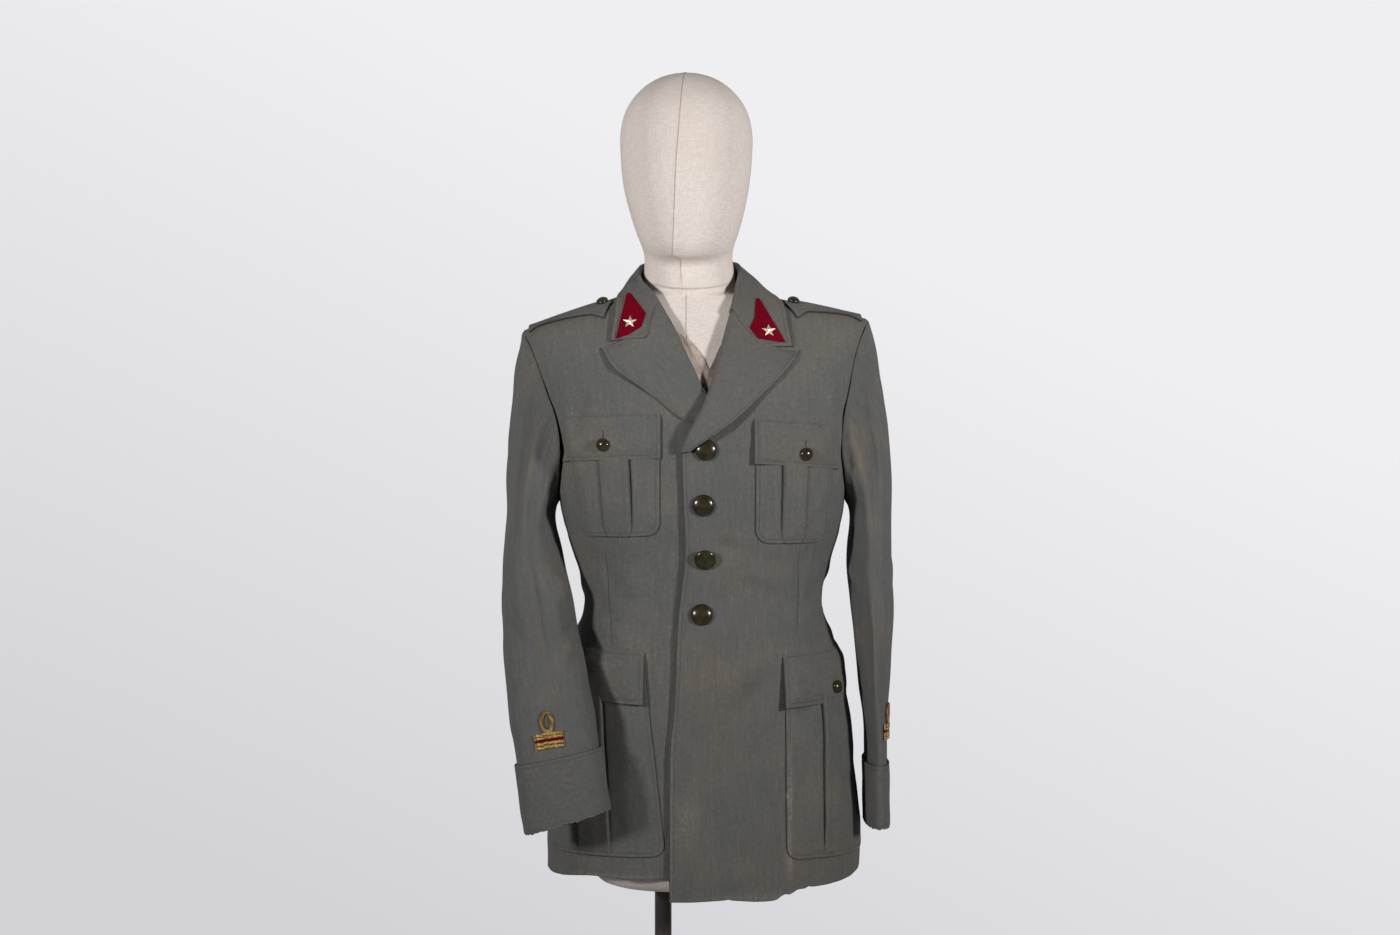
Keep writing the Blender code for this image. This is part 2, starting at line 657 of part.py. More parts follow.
FRONT_BUTTONS = Table("number x z tilt", (1, 0.003, 0.953, 0.0), (2, 0.000, 0.887, 0.0),
                      (3, 0.002, 0.823, -0.30), (4, -0.002, 0.756, 0.0))
FRONT_BUTTON = (0.0260, 0.0068)
SMALL_BUTTON = (0.0160, 0.0062)
POCKET_BUTTONS = {
    "chest_button_right": (-0.1180, 0.9590, False),
    "chest_button_left": (0.1210, 0.9480, False),
    "hip_button_right": (-0.1740, 0.6660, True),
    "hip_button_left": (0.1570, 0.6650, False),
}
BUTTON_SEAT = 0.0003


def buttons():
    for number, x, z, tilt in FRONT_BUTTONS.rows:
        seat = BUTTON_SEAT + abs(math.sin(tilt)) * 0.0100
        place, ahead = outward_at(lambda out: front_place(x, z, out), seat)
        button(f"front_button_{int(number)}", place, ahead, *FRONT_BUTTON, tilt)
    for name, (across, z, girth) in POCKET_BUTTONS.items():
        make = skin if girth else front_place
        place, ahead = outward_at(lambda out: make(across, z, out), FLAP_RISE + BUTTON_SEAT)
        button(name, place, ahead, *SMALL_BUTTON)
    for name, side in (("strap_button_left", 1), ("strap_button_right", -1)):
        x = side * (STRAP["inner_x"][side] + STRAP["button_in"])
        rise = LAY_GAP + STRAP["thick"] + BUTTON_SEAT
        y = STRAP["inner_y"] + STRAP["button_back"]
        place, ahead = outward_at(lambda out: top_place(x, y, out), rise)
        button(name, place, ahead, 0.0150, 0.0060)


# Shoulder straps, measured on the upright body from its axis
STRAP = dict(inner_x={1: 0.1110, -1: 0.0980}, outer_x=0.2030, inner_y=-0.0530,
             outer_y=-0.0225, half=0.0175, point=0.0120, button_in=0.0110, button_back=0.0060,
             thick=0.0026)


def strap(name, side):
    """A shoulder strap with a pointed inner end, lying along the shoulder seam."""
    outer = []
    inner = []
    for along in (0.0, 0.06, 0.14, 0.28, 0.42, 0.56, 0.68, 0.78, 0.86, 0.93, 1.0):
        x = mix(STRAP["inner_x"][side], STRAP["outer_x"], along)
        outer_row = []
        inner_row = []
        for share in (-1.0, -0.75, -0.5, -0.25, 0.0, 0.33, 0.66, 1.0):
            y = mix(STRAP["inner_y"], STRAP["outer_y"], along) + STRAP["half"] * share
            point = STRAP["point"] * abs(share) * (1.0 - smooth(0.0, 0.30, along))
            outer_row.append(top_place(side * (x + point), y, LAY_GAP + STRAP["thick"]))
            inner_row.append(top_place(side * (x + point), y, LAY_GAP))
        outer.append(outer_row)
        inner.append(inner_row)
    wall(name, outer, inner)


# Sleeve rings below the armhole: outer and inner side seen from the front, centre depth, half depth
SLEEVE_LEFT = Table(
    "z      outer   inner   middle   deep    square tilt",
    (0.490, 0.2265, 0.2012, -0.0260, 0.0600, 2.3, 0.00),
    (0.604, 0.2255, 0.2000, -0.0200, 0.0620, 2.3, 0.00),
    (0.641, 0.2280, 0.1960, -0.0170, 0.0640, 2.3, 0.00),
    (0.679, 0.2305, 0.1910, -0.0140, 0.0660, 2.3, 0.00),
    (0.716, 0.2335, 0.1895, -0.0110, 0.0680, 2.3, 0.00),
    (0.754, 0.2348, 0.1850, -0.0080, 0.0700, 2.3, 0.00),
    (0.791, 0.2348, 0.1805, -0.0060, 0.0705, 2.3, 0.00),
    (0.835, 0.2345, 0.1815, -0.0040, 0.0720, 2.3, 0.00),
)
SLEEVE_RIGHT = Table(
    "z      outer   inner   middle   deep    square tilt",
    (0.500, 0.2040, 0.1090, -0.1530, 0.0250, 2.4, 0.32),
    (0.560, 0.2140, 0.1170, -0.1480, 0.0255, 2.4, 0.26),
    (0.612, 0.2225, 0.1255, -0.1400, 0.0275, 2.3, 0.20),
    (0.639, 0.2285, 0.1290, -0.1330, 0.0295, 2.3, 0.17),
    (0.668, 0.2330, 0.1360, -0.1220, 0.0330, 2.3, 0.14),
    (0.719, 0.2400, 0.1480, -0.0930, 0.0400, 2.3, 0.08),
    (0.758, 0.2440, 0.1565, -0.0640, 0.0490, 2.3, 0.04),
    (0.790, 0.2460, 0.1640, -0.0420, 0.0570, 2.3, 0.02),
    (0.820, 0.2470, 0.1730, -0.0250, 0.0650, 2.3, 0.00),
    (0.845, 0.2450, 0.1805, -0.0140, 0.0700, 2.3, 0.00),
)
CUFF_HEIGHT = 0.076
ARMHOLE_LEVELS = tuple(z for z in LEVELS if UNDERARM_Z <= z <= SHOULDER_Z)


def armhole_loop(side):
    """Armhole edge from the shoulder down the front, under the arm and up the back, with the
    panel's normal and the direction along the panel into the opening."""
    places = []
    for z in ARMHOLE_LEVELS[::-1]:
        girth = side_girth(z)
        if UNDERARM_Z < z < SHOULDER_Z:
            girth = girth_of_x(ARMHOLE("front_x", z), z)
        places.append((side * girth, z))
    for z in ARMHOLE_LEVELS[1:-1]:
        places.append((side * back_girth_of_x(ARMHOLE("back_x", z), z), z))
    edge = np.array([skin(girth, z) for girth, z in places])
    normal = np.array([skin(girth, z, 0.001) for girth, z in places]) - edge
    normal /= np.linalg.norm(normal, axis=1, keepdims=True)
    along = np.roll(edge, -1, axis=0) - np.roll(edge, 1, axis=0)
    into = np.cross(normal, along)
    into /= np.linalg.norm(into, axis=1, keepdims=True)
    if into[0, 0] * side < 0:
        into = -into
    return edge, normal, into


def ring_point(table, z, side, angle):
    """A point of a sleeve ring. Angle 0 is the outer side and a quarter turn is the front."""
    outer = table("outer", z)
    inner = table("inner", z)
    power = 2.0 / table("square", z)
    across = math.copysign(abs(math.cos(angle)) ** power, math.cos(angle))
    ahead = math.copysign(abs(math.sin(angle)) ** power, math.sin(angle))
    x = (outer + inner) / 2 + (outer - inner) / 2 * across
    y = table("middle", z) - table("deep", z) * ahead
    fall = table("tilt", z) * (x - (outer + inner) / 2)
    return np.array([side * x + AXIS_X, y, z - fall])


def sleeve_surface(table, side, cap_rows, lower_levels):
    """Outer grid of a sleeve: the cap falls from the armhole to the top ring of the table."""
    edge, normal, into = armhole_loop(side)
    count = len(edge)
    length = np.linalg.norm(np.roll(edge, -1, axis=0) - edge, axis=1)
    turn = np.concatenate([[0.0], np.cumsum(length)[:-1]]) / length.sum() * 2 * math.pi
    top_z = table.rows[-1, 0]
    rows = []
    starts = []
    heads = []
    for k in range(count):
        low = smooth(0.35, 1.0, (1.0 - math.cos(turn[k])) / 2)
        crown = smooth(0.70, 1.0, (1.0 + math.cos(turn[k])) / 2)
        head = into[k] * mix(1.0, 0.5, crown) + normal[k] * 1.1 * low
        head = head + np.array([0.0, 0.0, -1.0]) * mix(mix(0.55, 1.1, crown), 2.2, low)
        head /= np.linalg.norm(head)
        turned_in = max(0.0, -float(head @ normal[k]))
        start = edge[k] + into[k] * (SEAM_GAP + 0.0005 + CLOTH * turned_in)
        start = start + normal[k] * (SEAM_GAP + 0.0002) * low
        starts.append(start)
        heads.append(head)
    for row in range(cap_rows):
        share = row / cap_rows
        ring = []
        for k in range(count):
            target = ring_point(table, top_z, side, turn[k])
            below = ring_point(table, top_z - 0.002, side, turn[k])
            chord = np.linalg.norm(target - starts[k])
            pull = (below - target) / np.linalg.norm(below - target)
            u = share
            ring.append((2 * u ** 3 - 3 * u ** 2 + 1) * starts[k]
                        + (u ** 3 - 2 * u ** 2 + u) * chord * heads[k]
                        + (3 * u ** 2 - 2 * u ** 3) * target
                        + (u ** 3 - u ** 2) * chord * 0.9 * pull)
        rows.append(ring)
    for z in lower_levels:
        rows.append([ring_point(table, z, side, turn[k]) for k in range(count)])
    return np.array(rows)


def sleeve(name, table, side, levels):
    outer = sleeve_surface(table, side, 7, levels)
    normals = sheet_normals(outer, closed=True) * side
    middle = outer.mean(axis=1, keepdims=True)
    facing = np.sum(normals[-4] * (outer[-4] - middle[-4]), axis=1).mean()
    inner = outer - normals * math.copysign(CLOTH, facing)
    wall(name, outer, inner, closed=True)


def cuff(name, table, side, bottom, top):
    """A turned-back cuff round the sleeve's end."""
    out = CUFF_GAP + CLOTH
    columns = 24
    outer = []
    for z in np.linspace(top, bottom, 3):
        outer.append([ring_point(table, z, side, 2 * math.pi * k / columns) for k in range(columns)])
    outer = np.array(outer)
    normals = sheet_normals(outer, closed=True)
    middle = outer.mean(axis=1, keepdims=True)
    facing = np.sign(np.sum(normals * (outer - middle)))
    wall(name, outer + normals * facing * out, outer + normals * facing * CUFF_GAP, closed=True)


def surface_below(owner):
    """Finds places on an object's front, for what lies on it."""
    graph = bpy.context.evaluated_depsgraph_get()
    tree = BVHTree.FromObject(owner, graph)

    def place(x, z, out):
        hit, normal, _, _ = tree.ray_cast(Vector((x + AXIS_X, -1.0, z)), Vector((0.0, 1.0, 0.0)))
        return np.array(hit) + np.array(normal) * out
    return place


# Collar patches: left and right edge by height, as seen from the front
PATCH_RIGHT = Table("z left right", (1.0870, -0.1049, -0.1032), (1.0913, -0.1040, -0.0908),
                    (1.1011, -0.1019, -0.0748), (1.1177, -0.0984, -0.0694),
                    (1.1340, -0.0950, -0.0812), (1.1444, -0.0932, -0.0888))
PATCH_LEFT = Table("z left right", (1.0827, 0.0913, 0.0985), (1.0865, 0.0658, 0.0965),
                   (1.1005, 0.0561, 0.0885), (1.1123, 0.0620, 0.0816), (1.1371, 0.0641, 0.0679))
PATCH_THICK = 0.0012
STAR_RADIUS = 0.0088
STAR_RISE = 0.0016


def collar_patch(name, table, owner):
    place = surface_below(owner)
    outer = []
    inner = []
    for z in np.linspace(table.rows[0, 0], table.rows[-1, 0], 9):
        xs = np.linspace(table("left", z), table("right", z), 4)
        outer.append([place(x, z, PATCH_GAP + PATCH_THICK) for x in xs])
        inner.append([place(x, z, PATCH_GAP) for x in xs])
    return wall(name, outer, inner, "patch_cloth")


def star(name, x, z, owner):
    """A plain five-pointed star, raised to its centre."""
    place = surface_below(owner)
    centre = place(x, z, LAY_GAP)
    across, up, ahead = frame_at(place(x, z, 0.004) - centre)
    outline = []
    for k in range(10):
        angle = math.pi / 2 + math.pi * k / 5
        radius = STAR_RADIUS if k % 2 == 0 else STAR_RADIUS * 0.40
        outline.append(centre + (across * math.cos(angle) + up * math.sin(angle)) * radius)
    rim = [point + ahead * 0.0005 for point in outline]
    points = outline + rim + [centre, centre + ahead * STAR_RISE]
    faces = []
    for k in range(10):
        beside = (k + 1) % 10
        faces += [(k, beside, 10 + beside, 10 + k), (10 + k, 10 + beside, 21), (beside, k, 20)]
    add_object(name, points, faces, "brass")


BADGE = dict(half=0.0175, height=0.0190, loop_half=0.0085, loop_high=0.0250, thick=0.0020)


def sleeve_place(table, side, angle, z, u, out):
    """A place on a sleeve, u round it from an angle of its ring at a level."""
    turns = angle + np.linspace(-1.2, 1.2, 241)
    ring = np.array([ring_point(table, z, side, turn) for turn in turns])
    length = np.concatenate([[0.0], np.cumsum(np.linalg.norm(np.diff(ring, axis=0), axis=1))])
    length -= length[120]
    turn = np.interp(u, length, turns)
    here = ring_point(table, z, side, turn)
    round_it = ring_point(table, z, side, turn + 0.01) - ring_point(table, z, side, turn - 0.01)
    up = ring_point(table, z + 0.002, side, turn) - ring_point(table, z - 0.002, side, turn)
    normal = np.cross(up, round_it)
    normal /= np.linalg.norm(normal)
    middle = ring_point(table, z, side, 0.0) + ring_point(table, z, side, math.pi)
    if normal @ (here - middle / 2) < 0:
        normal = -normal
    return here + normal * out


def rank_badge(name, table, side, angle, z, gap):
    """A rank badge: a plate of bars with a curl on top, bent round the sleeve."""
    half = BADGE["half"]
    curl = BADGE["loop_half"]
    rows = [(half, 0.0), (half, 0.5), (half, 1.0), (curl, 1.0), (curl, 1.6), (curl * 0.85, 2.0),
            (curl * 0.5, 2.25)]
    outer = []
    inner = []
    for wide, part in rows:
        high = part * BADGE["height"]
        high += 0.0004 if wide == curl and part == 1.0 else 0.0
        for grid, out in ((outer, gap + BADGE["thick"]), (inner, gap)):
            grid.append([sleeve_place(table, side, angle, z + high, wide * share, out)
                         for share in (-1.0, -0.6, -0.2, 0.2, 0.6, 1.0)])
    wall(name, outer, inner, "gold_wire")


# The dress form inside: how far it stays behind the tunic's outside, by height
FORM_INSET = Table(
    "z     side    front   back",
    (0.440, 0.0580, 0.0140, 0.0300),
    (0.520, 0.0400, 0.0120, 0.0200),
    (0.620, 0.0220, 0.0120, 0.0140),
    (0.773, 0.0080, 0.0120, 0.0090),
    (0.890, 0.0100, 0.0130, 0.0090),
    (0.960, 0.0160, 0.0130, 0.0090),
    (1.040, 0.0200, 0.0120, 0.0080),
    (1.090, 0.0110, 0.0100, 0.0090),
    (1.114, 0.0050, 0.0075, 0.0080),
    (1.150, 0.0020, 0.0040, 0.0040),
)
FORM_LEVELS = (0.455, 0.520, 0.600, 0.680, 0.725, 0.773, 0.820, 0.870, 0.920, 0.970, 1.015,
               1.055, 1.085, 1.102, 1.1125, 1.120, 1.128, 1.136, 1.142)
FORM_SINK = 0.0029
FORM_SIDES = 26
NECK_SLOPE = 0.138
NECK_RINGS = Table(
    "z     half    front   back    slope",
    (1.1485, 0.0640, 0.0610, 0.0600, 0.05),
    (1.1540, 0.0585, 0.0590, 0.0580, 0.11),
    (1.1566, 0.0570, 0.0585, 0.0570, NECK_SLOPE),
)


def oval(half, front, back, square, sides):
    """One turn of a section, from the centre front round by +X."""
    points = []
    for k in range(sides):
        angle = 2 * math.pi * k / sides
        power = 2.0 / square
        x = half * math.copysign(abs(math.sin(angle)) ** power, math.sin(angle))
        depth = front if math.cos(angle) > 0 else back
        y = -depth * math.copysign(abs(math.cos(angle)) ** power, math.cos(angle))
        points.append((x, y))
    return points


def loft(name, rings, slot, pole_top=None):
    """A closed solid through rings of the same count, flat at its ends or drawn to a point."""
    sides = len(rings[0])
    points = [point for ring in rings for point in ring]
    faces = grid_faces(len(rings), sides, 0, True)
    faces.append(tuple(range(sides))[::-1])
    top = (len(rings) - 1) * sides
    if pole_top is None:
        faces.append(tuple(range(top, top + sides)))
    else:
        points.append(pole_top)
        faces += [(top + k, top + (k + 1) % sides, len(points) - 1) for k in range(sides)]
    return add_object(name, points, faces, slot)


BOTTOM_ROUND = Table("rise shrink", (0.0, 0.022), (0.005, 0.010), (0.013, 0.003), (0.024, 0.0))


def form_torso():
    rings = []
    first = FORM_LEVELS[0]
    base = (BODY("half", first) - FORM_INSET("side", first), BODY("front", first)
            - FORM_INSET("front", first), BODY("back", first) - FORM_INSET("back", first))
    for rise, shrink in BOTTOM_ROUND.rows:
        ring = oval(*(size - shrink for size in base), BODY("square", first), FORM_SIDES)
        rings.append([lean(np.array([x, y, FORM_BOTTOM_Z + rise])) for x, y in ring])
    for z in FORM_LEVELS:
        source = min(z + FORM_SINK * smooth(1.02, 1.112, z), NECKLINE_Z)
        ring = oval(BODY("half", source) - FORM_INSET("side", z), BODY("front", source)
                    - FORM_INSET("front", z), BODY("back", source) - FORM_INSET("back", z),
                    BODY("square", source), FORM_SIDES)
        rings.append([lean(np.array([x, y, z])) for x, y in ring])
    for z, half, front, back, slope in NECK_RINGS.rows:
        rings.append([neck_lean(x, y, z + slope * y) for x, y in oval(half, front, back, 2.0,
                                                                      FORM_SIDES)])
    loft("form_torso", rings, "form_linen")


def neck_lean(x, y, z):
    """The neck and the head lean as one piece, so that a flat cut stays flat."""
    return np.array([x + SWAY("x", 1.16) + AXIS_X, y, z])


HEAD = Table(
    "z     half    front   back    slope  shift",
    (1.1569, 0.0570, 0.0585, 0.0570, NECK_SLOPE, 0.0000),
    (1.1800, 0.0555, 0.0580, 0.0560, 0.22, -0.0010),
    (1.1960, 0.0550, 0.0590, 0.0570, 0.30, -0.0015),
    (1.2060, 0.0565, 0.0650, 0.0600, 0.34, -0.0020),
    (1.2140, 0.0590, 0.0740, 0.0660, 0.35, -0.0022),
    (1.2260, 0.0635, 0.0830, 0.0760, 0.33, -0.0025),
    (1.2450, 0.0695, 0.0900, 0.0880, 0.28, -0.0030),
    (1.2860, 0.0788, 0.0970, 0.1010, 0.16, -0.0040),
    (1.3200, 0.0820, 0.0980, 0.1050, 0.08, -0.0040),
    (1.3480, 0.0824, 0.0960, 0.1040, 0.03, -0.0040),
    (1.3750, 0.0760, 0.0870, 0.0950, 0.00, -0.0040),
    (1.3940, 0.0640, 0.0730, 0.0800, 0.00, -0.0040),
    (1.4100, 0.0460, 0.0530, 0.0580, 0.00, -0.0040),
    (1.4195, 0.0250, 0.0290, 0.0320, 0.00, -0.0040),
)
HEAD_TOP_Z = 1.4240


def form_head():
    rings = []
    for z, half, front, back, slope, shift in HEAD.rows:
        ring = oval(half, front, back, 2.1, FORM_SIDES)
        rings.append([neck_lean(x + shift, y, z + slope * y) for x, y in ring])
    loft("form_head", rings, "form_linen", neck_lean(HEAD.rows[-1, 5], 0.0, HEAD_TOP_Z))


def turned(name, profile, sides, slot):
    rings = []
    for radius, z in profile:
        rings.append([np.array([radius * math.sin(2 * math.pi * k / sides),
                                -radius * math.cos(2 * math.pi * k / sides), z])
                      for k in range(sides)])
    loft(name, rings, slot)


def stand():
    turned("stand_base", ((BASE_RADIUS - 0.002, 0.0), (BASE_RADIUS, 0.002),
                          (BASE_RADIUS, BASE_HEIGHT - 0.004), (BASE_RADIUS - 0.004, BASE_HEIGHT - 0.001),
                          (BASE_RADIUS - 0.010, BASE_HEIGHT)), 40, "stand_metal")
    turned("stand_pole", ((POLE_RADIUS, BASE_HEIGHT + SEAM_GAP), (POLE_RADIUS, 0.20),
                          (POLE_RADIUS, FORM_BOTTOM_Z - SEAM_GAP)), 20, "stand_metal")


SLEEVE_LEVELS_LEFT = (0.835, 0.800, 0.765, 0.730, 0.695, 0.660, 0.625, 0.604, 0.585, 0.560, 0.530,
                      0.497)
SLEEVE_LEVELS_RIGHT = (0.845, 0.815, 0.785, 0.755, 0.725, 0.697, 0.668, 0.640, 0.612, 0.590, 0.565,
                       0.540, 0.519)


def badges():
    rank_badge("rank_badge_right", SLEEVE_RIGHT, -1, 1.50, 0.6060, 0.0006)
    rank_badge("rank_badge_left", SLEEVE_LEFT, 1, 0.80, 0.6020, 0.0014)


def build():
    stand()
    form_torso()
    form_head()
    body_panels()
    lapel("lapel_left", LAPEL_LEFT, flat)
    lapel("lapel_right", LAPEL_RIGHT, tuck)
    made_collar = collar()
    for name, values in POCKETS.items():
        pocket(name, **values)
    for name, values in FLAPS.items():
        flap(name, **values)
    strap("shoulder_strap_left", 1)
    strap("shoulder_strap_right", -1)
    buttons()
    sleeve("sleeve_left", SLEEVE_LEFT, 1, SLEEVE_LEVELS_LEFT)
    sleeve("sleeve_right", SLEEVE_RIGHT, -1, SLEEVE_LEVELS_RIGHT)
    cuff("cuff_left", SLEEVE_LEFT, 1, 0.496, 0.496 + CUFF_HEIGHT)
    cuff("cuff_right", SLEEVE_RIGHT, -1, 0.518, 0.518 + CUFF_HEIGHT)
    bpy.context.view_layer.update()
    patches = (("right", PATCH_RIGHT, (-0.0885, 1.1075)), ("left", PATCH_LEFT, (0.0787, 1.0967)))
    for side, table, place in patches:
        patch = collar_patch(f"collar_patch_{side}", table, made_collar)
        bpy.context.view_layer.update()
        star(f"collar_star_{side}", *place, patch)
    badges()


build()
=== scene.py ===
"""Looks of a military uniform tunic on a limbless dress form with a round stand.

Everything is in metres in the frame of the solids: +Z is up, the tunic faces -Y and the wearer's
left is +X. The cloth is built as thin shells on the solids' own surfaces, from the same tables,
with finer grids, seams, pressed edges and creases.
"""
import json
import math

import bpy
import numpy as np
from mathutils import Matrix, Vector
from mathutils.bvhtree import BVHTree

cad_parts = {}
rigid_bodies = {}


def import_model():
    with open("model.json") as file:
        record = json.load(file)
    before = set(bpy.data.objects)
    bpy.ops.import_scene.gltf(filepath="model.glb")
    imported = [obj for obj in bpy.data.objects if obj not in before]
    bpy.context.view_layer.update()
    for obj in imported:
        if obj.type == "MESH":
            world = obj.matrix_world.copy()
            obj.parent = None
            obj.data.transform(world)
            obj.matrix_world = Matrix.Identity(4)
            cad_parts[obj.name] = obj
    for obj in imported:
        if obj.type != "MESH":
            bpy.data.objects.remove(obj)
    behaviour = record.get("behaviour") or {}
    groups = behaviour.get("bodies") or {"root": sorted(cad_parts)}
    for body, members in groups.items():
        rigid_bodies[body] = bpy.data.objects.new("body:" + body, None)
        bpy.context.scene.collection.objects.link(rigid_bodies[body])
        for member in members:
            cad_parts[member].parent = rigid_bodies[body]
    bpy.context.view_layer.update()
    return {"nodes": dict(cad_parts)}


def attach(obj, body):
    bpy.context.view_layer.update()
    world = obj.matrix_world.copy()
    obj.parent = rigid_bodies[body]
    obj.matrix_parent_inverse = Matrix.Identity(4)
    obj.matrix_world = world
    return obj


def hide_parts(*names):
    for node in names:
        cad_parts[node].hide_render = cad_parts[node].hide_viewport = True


for old in list(bpy.data.objects):
    bpy.data.objects.remove(old, do_unlink=True)
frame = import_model()
NODES = frame["nodes"]

CLOTH = 0.0020
POCKET_CLOTH = 0.0015
LAPEL_CLOTH = 0.0018
CUFF_CLOTH = 0.0018
STRAP_CLOTH = 0.0024
LINING_CLOTH = 0.0008
# A distance at which no seam and no stitched edge shows
FAR = 0.1
SEAM_GAP = 0.0003
LAY_GAP = 0.0008
PATCH_GAP = 0.0010
CUFF_GAP = 0.0010
AXIS_X = 0.050
UNDERARM_Z = 0.890
SHOULDER_Z = 1.116
NECKLINE_Z = 1.150
SHOULDER_DROP = 0.016
TUCK = 0.0062
FORM_BOTTOM_Z = 0.420


CAMERA_PLACE = (0.046, -2.43, 0.932)
# Lamps: name, place, size and power
LIGHTS = (
    ("key_left", (-1.80, -1.90, 1.34), 0.40, 7.4),
    ("key_right", (2.05, -1.80, 1.34), 0.40, 8.6),
)
LAMP_AIM = Vector((0.05, 0.0, 1.22))
LAMP_SPREAD = math.radians(76.0)
# Backdrop colours seen by the camera: painted shade and painted light of a lit wall
BACKDROP_PAINTED_SHADE = (0.65, 0.645, 0.675)
BACKDROP_PAINTED_LIGHT = (0.865, 0.865, 0.885)
FILL_COLOUR = (0.96, 0.97, 1.0)
FILL_AHEAD = 0.036
FILL_BEHIND = 0.36
FLOOR_RADIUS = 1.38
FLOOR_SIDES = 96
FLOOR_DROP = 0.0004
FLOOR_COLOUR = (0.72, 0.72, 0.735)


# Node trees
class Graph:
    """A node tree, with short calls for its nodes."""

    def __init__(self, tree):
        self.tree = tree

    def feed(self, socket, value):
        if isinstance(value, bpy.types.NodeSocket):
            self.tree.links.new(value, socket)
        elif isinstance(value, tuple) and len(value) == 3 and socket.type == "RGBA":
            socket.default_value = (*value, 1.0)
        else:
            socket.default_value = value

    def node(self, kind, inputs, output=0, **settings):
        """Adds a node with its settings and inputs, and hands over one output."""
        made = self.tree.nodes.new("ShaderNode" + kind)
        for key, value in settings.items():
            setattr(made, key, value)
        for key, value in inputs.items():
            self.feed(made.inputs[key], value)
        return made.outputs[output]

    def math(self, operation, first, second=0.0, third=0.0):
        return self.node("Math", {0: first, 1: second, 2: third}, operation=operation)

    def times(self, first, second):
        return self.math("MULTIPLY", first, second)

    def total(self, *parts, start=0.0):
        """The sum of values, each given after its weight."""
        whole = start
        for weight, value in parts:
            whole = self.math("MULTIPLY_ADD", value, weight, whole)
        return whole

    def split(self, vector):
        """The three parts of a vector."""
        made = self.tree.nodes.new("ShaderNodeSeparateXYZ")
        self.feed(made.inputs[0], vector)
        return tuple(made.outputs)

    def blend(self, share, first, second):
        return self.node("Mix", {"Factor": share, 6: first, 7: second}, output=2, data_type="RGBA")


# Camera, light and floor
def add_object(name, data):
    made = bpy.data.objects.new(name, data)
    bpy.context.scene.collection.objects.link(made)
    return made


def camera():
    """The camera of the photograph, level and straight ahead of the figure."""
    data = bpy.data.cameras.new("camera")
    data.lens = 50.0
    data.sensor_width = 36.0
    made = add_object("camera", data)
    made.location = CAMERA_PLACE
    made.rotation_euler = (math.pi / 2, 0.0, 0.0)
    bpy.context.scene.camera = made
    bpy.context.scene.view_settings.view_transform = "Standard"


def lamps():
    """Soft round lamps on both sides, aimed at the chest."""
    for name, place, size, power in LIGHTS:
        lamp = bpy.data.lights.new(name, "AREA")
        lamp.shape = "DISK"
        lamp.size = size
        lamp.spread = LAMP_SPREAD
        lamp.energy = power
        made = add_object(name, lamp)
        made.location = place
        made.rotation_euler = (LAMP_AIM - Vector(place)).to_track_quat("-Z", "Y").to_euler()


def surroundings():
    """What the camera sees behind the figure: a backdrop with painted shade towards the bottom and -X
    and painted light towards the top and +X, and a weak fill that is stronger from behind.
    """
    world = bpy.data.worlds.new("surroundings")
    world.use_nodes = True
    world.node_tree.nodes.clear()
    g = Graph(world.node_tree)
    ahead = g.node("TexCoord", {}, output="Generated")
    # The backdrop runs from painted shade low on the -X side to painted light high on the +X side, a
    # falloff of light painted into its colour.
    rise = g.node("VectorMath", {0: ahead, 1: (0.45, 0.0, 1.0)}, output="Value",
                  operation="DOT_PRODUCT")
    share = g.node("MapRange", {"Value": rise, "From Min": -0.30, "From Max": 0.16})
    seen = g.node("Background", {"Color": g.blend(share, BACKDROP_PAINTED_SHADE, BACKDROP_PAINTED_LIGHT)})
    strength = g.node("MapRange", {"Value": g.split(ahead)[1], "From Min": -0.10, "From Max": 0.50,
                                   "To Min": FILL_AHEAD, "To Max": FILL_BEHIND})
    fill = g.node("Background", {"Color": FILL_COLOUR, "Strength": strength})
    is_seen = g.node("LightPath", {}, output="Is Camera Ray")
    out = g.tree.nodes.new("ShaderNodeOutputWorld")
    g.feed(out.inputs["Surface"], g.node("MixShader", {0: is_seen, 1: fill, 2: seen}))
    bpy.context.scene.world = world


def floor():
    """A round pale floor under the stand."""
    turns = np.linspace(0.0, 2 * math.pi, FLOOR_SIDES, endpoint=False)
    rim = [(FLOOR_RADIUS * math.cos(turn), FLOOR_RADIUS * math.sin(turn), -FLOOR_DROP)
           for turn in turns]
    mesh = bpy.data.meshes.new("floor")
    mesh.from_pydata(rim, [], [tuple(range(FLOOR_SIDES))])
    mesh.materials.append(plain("floor_paint", FLOOR_COLOUR, 0.75))
    add_object("floor", mesh)


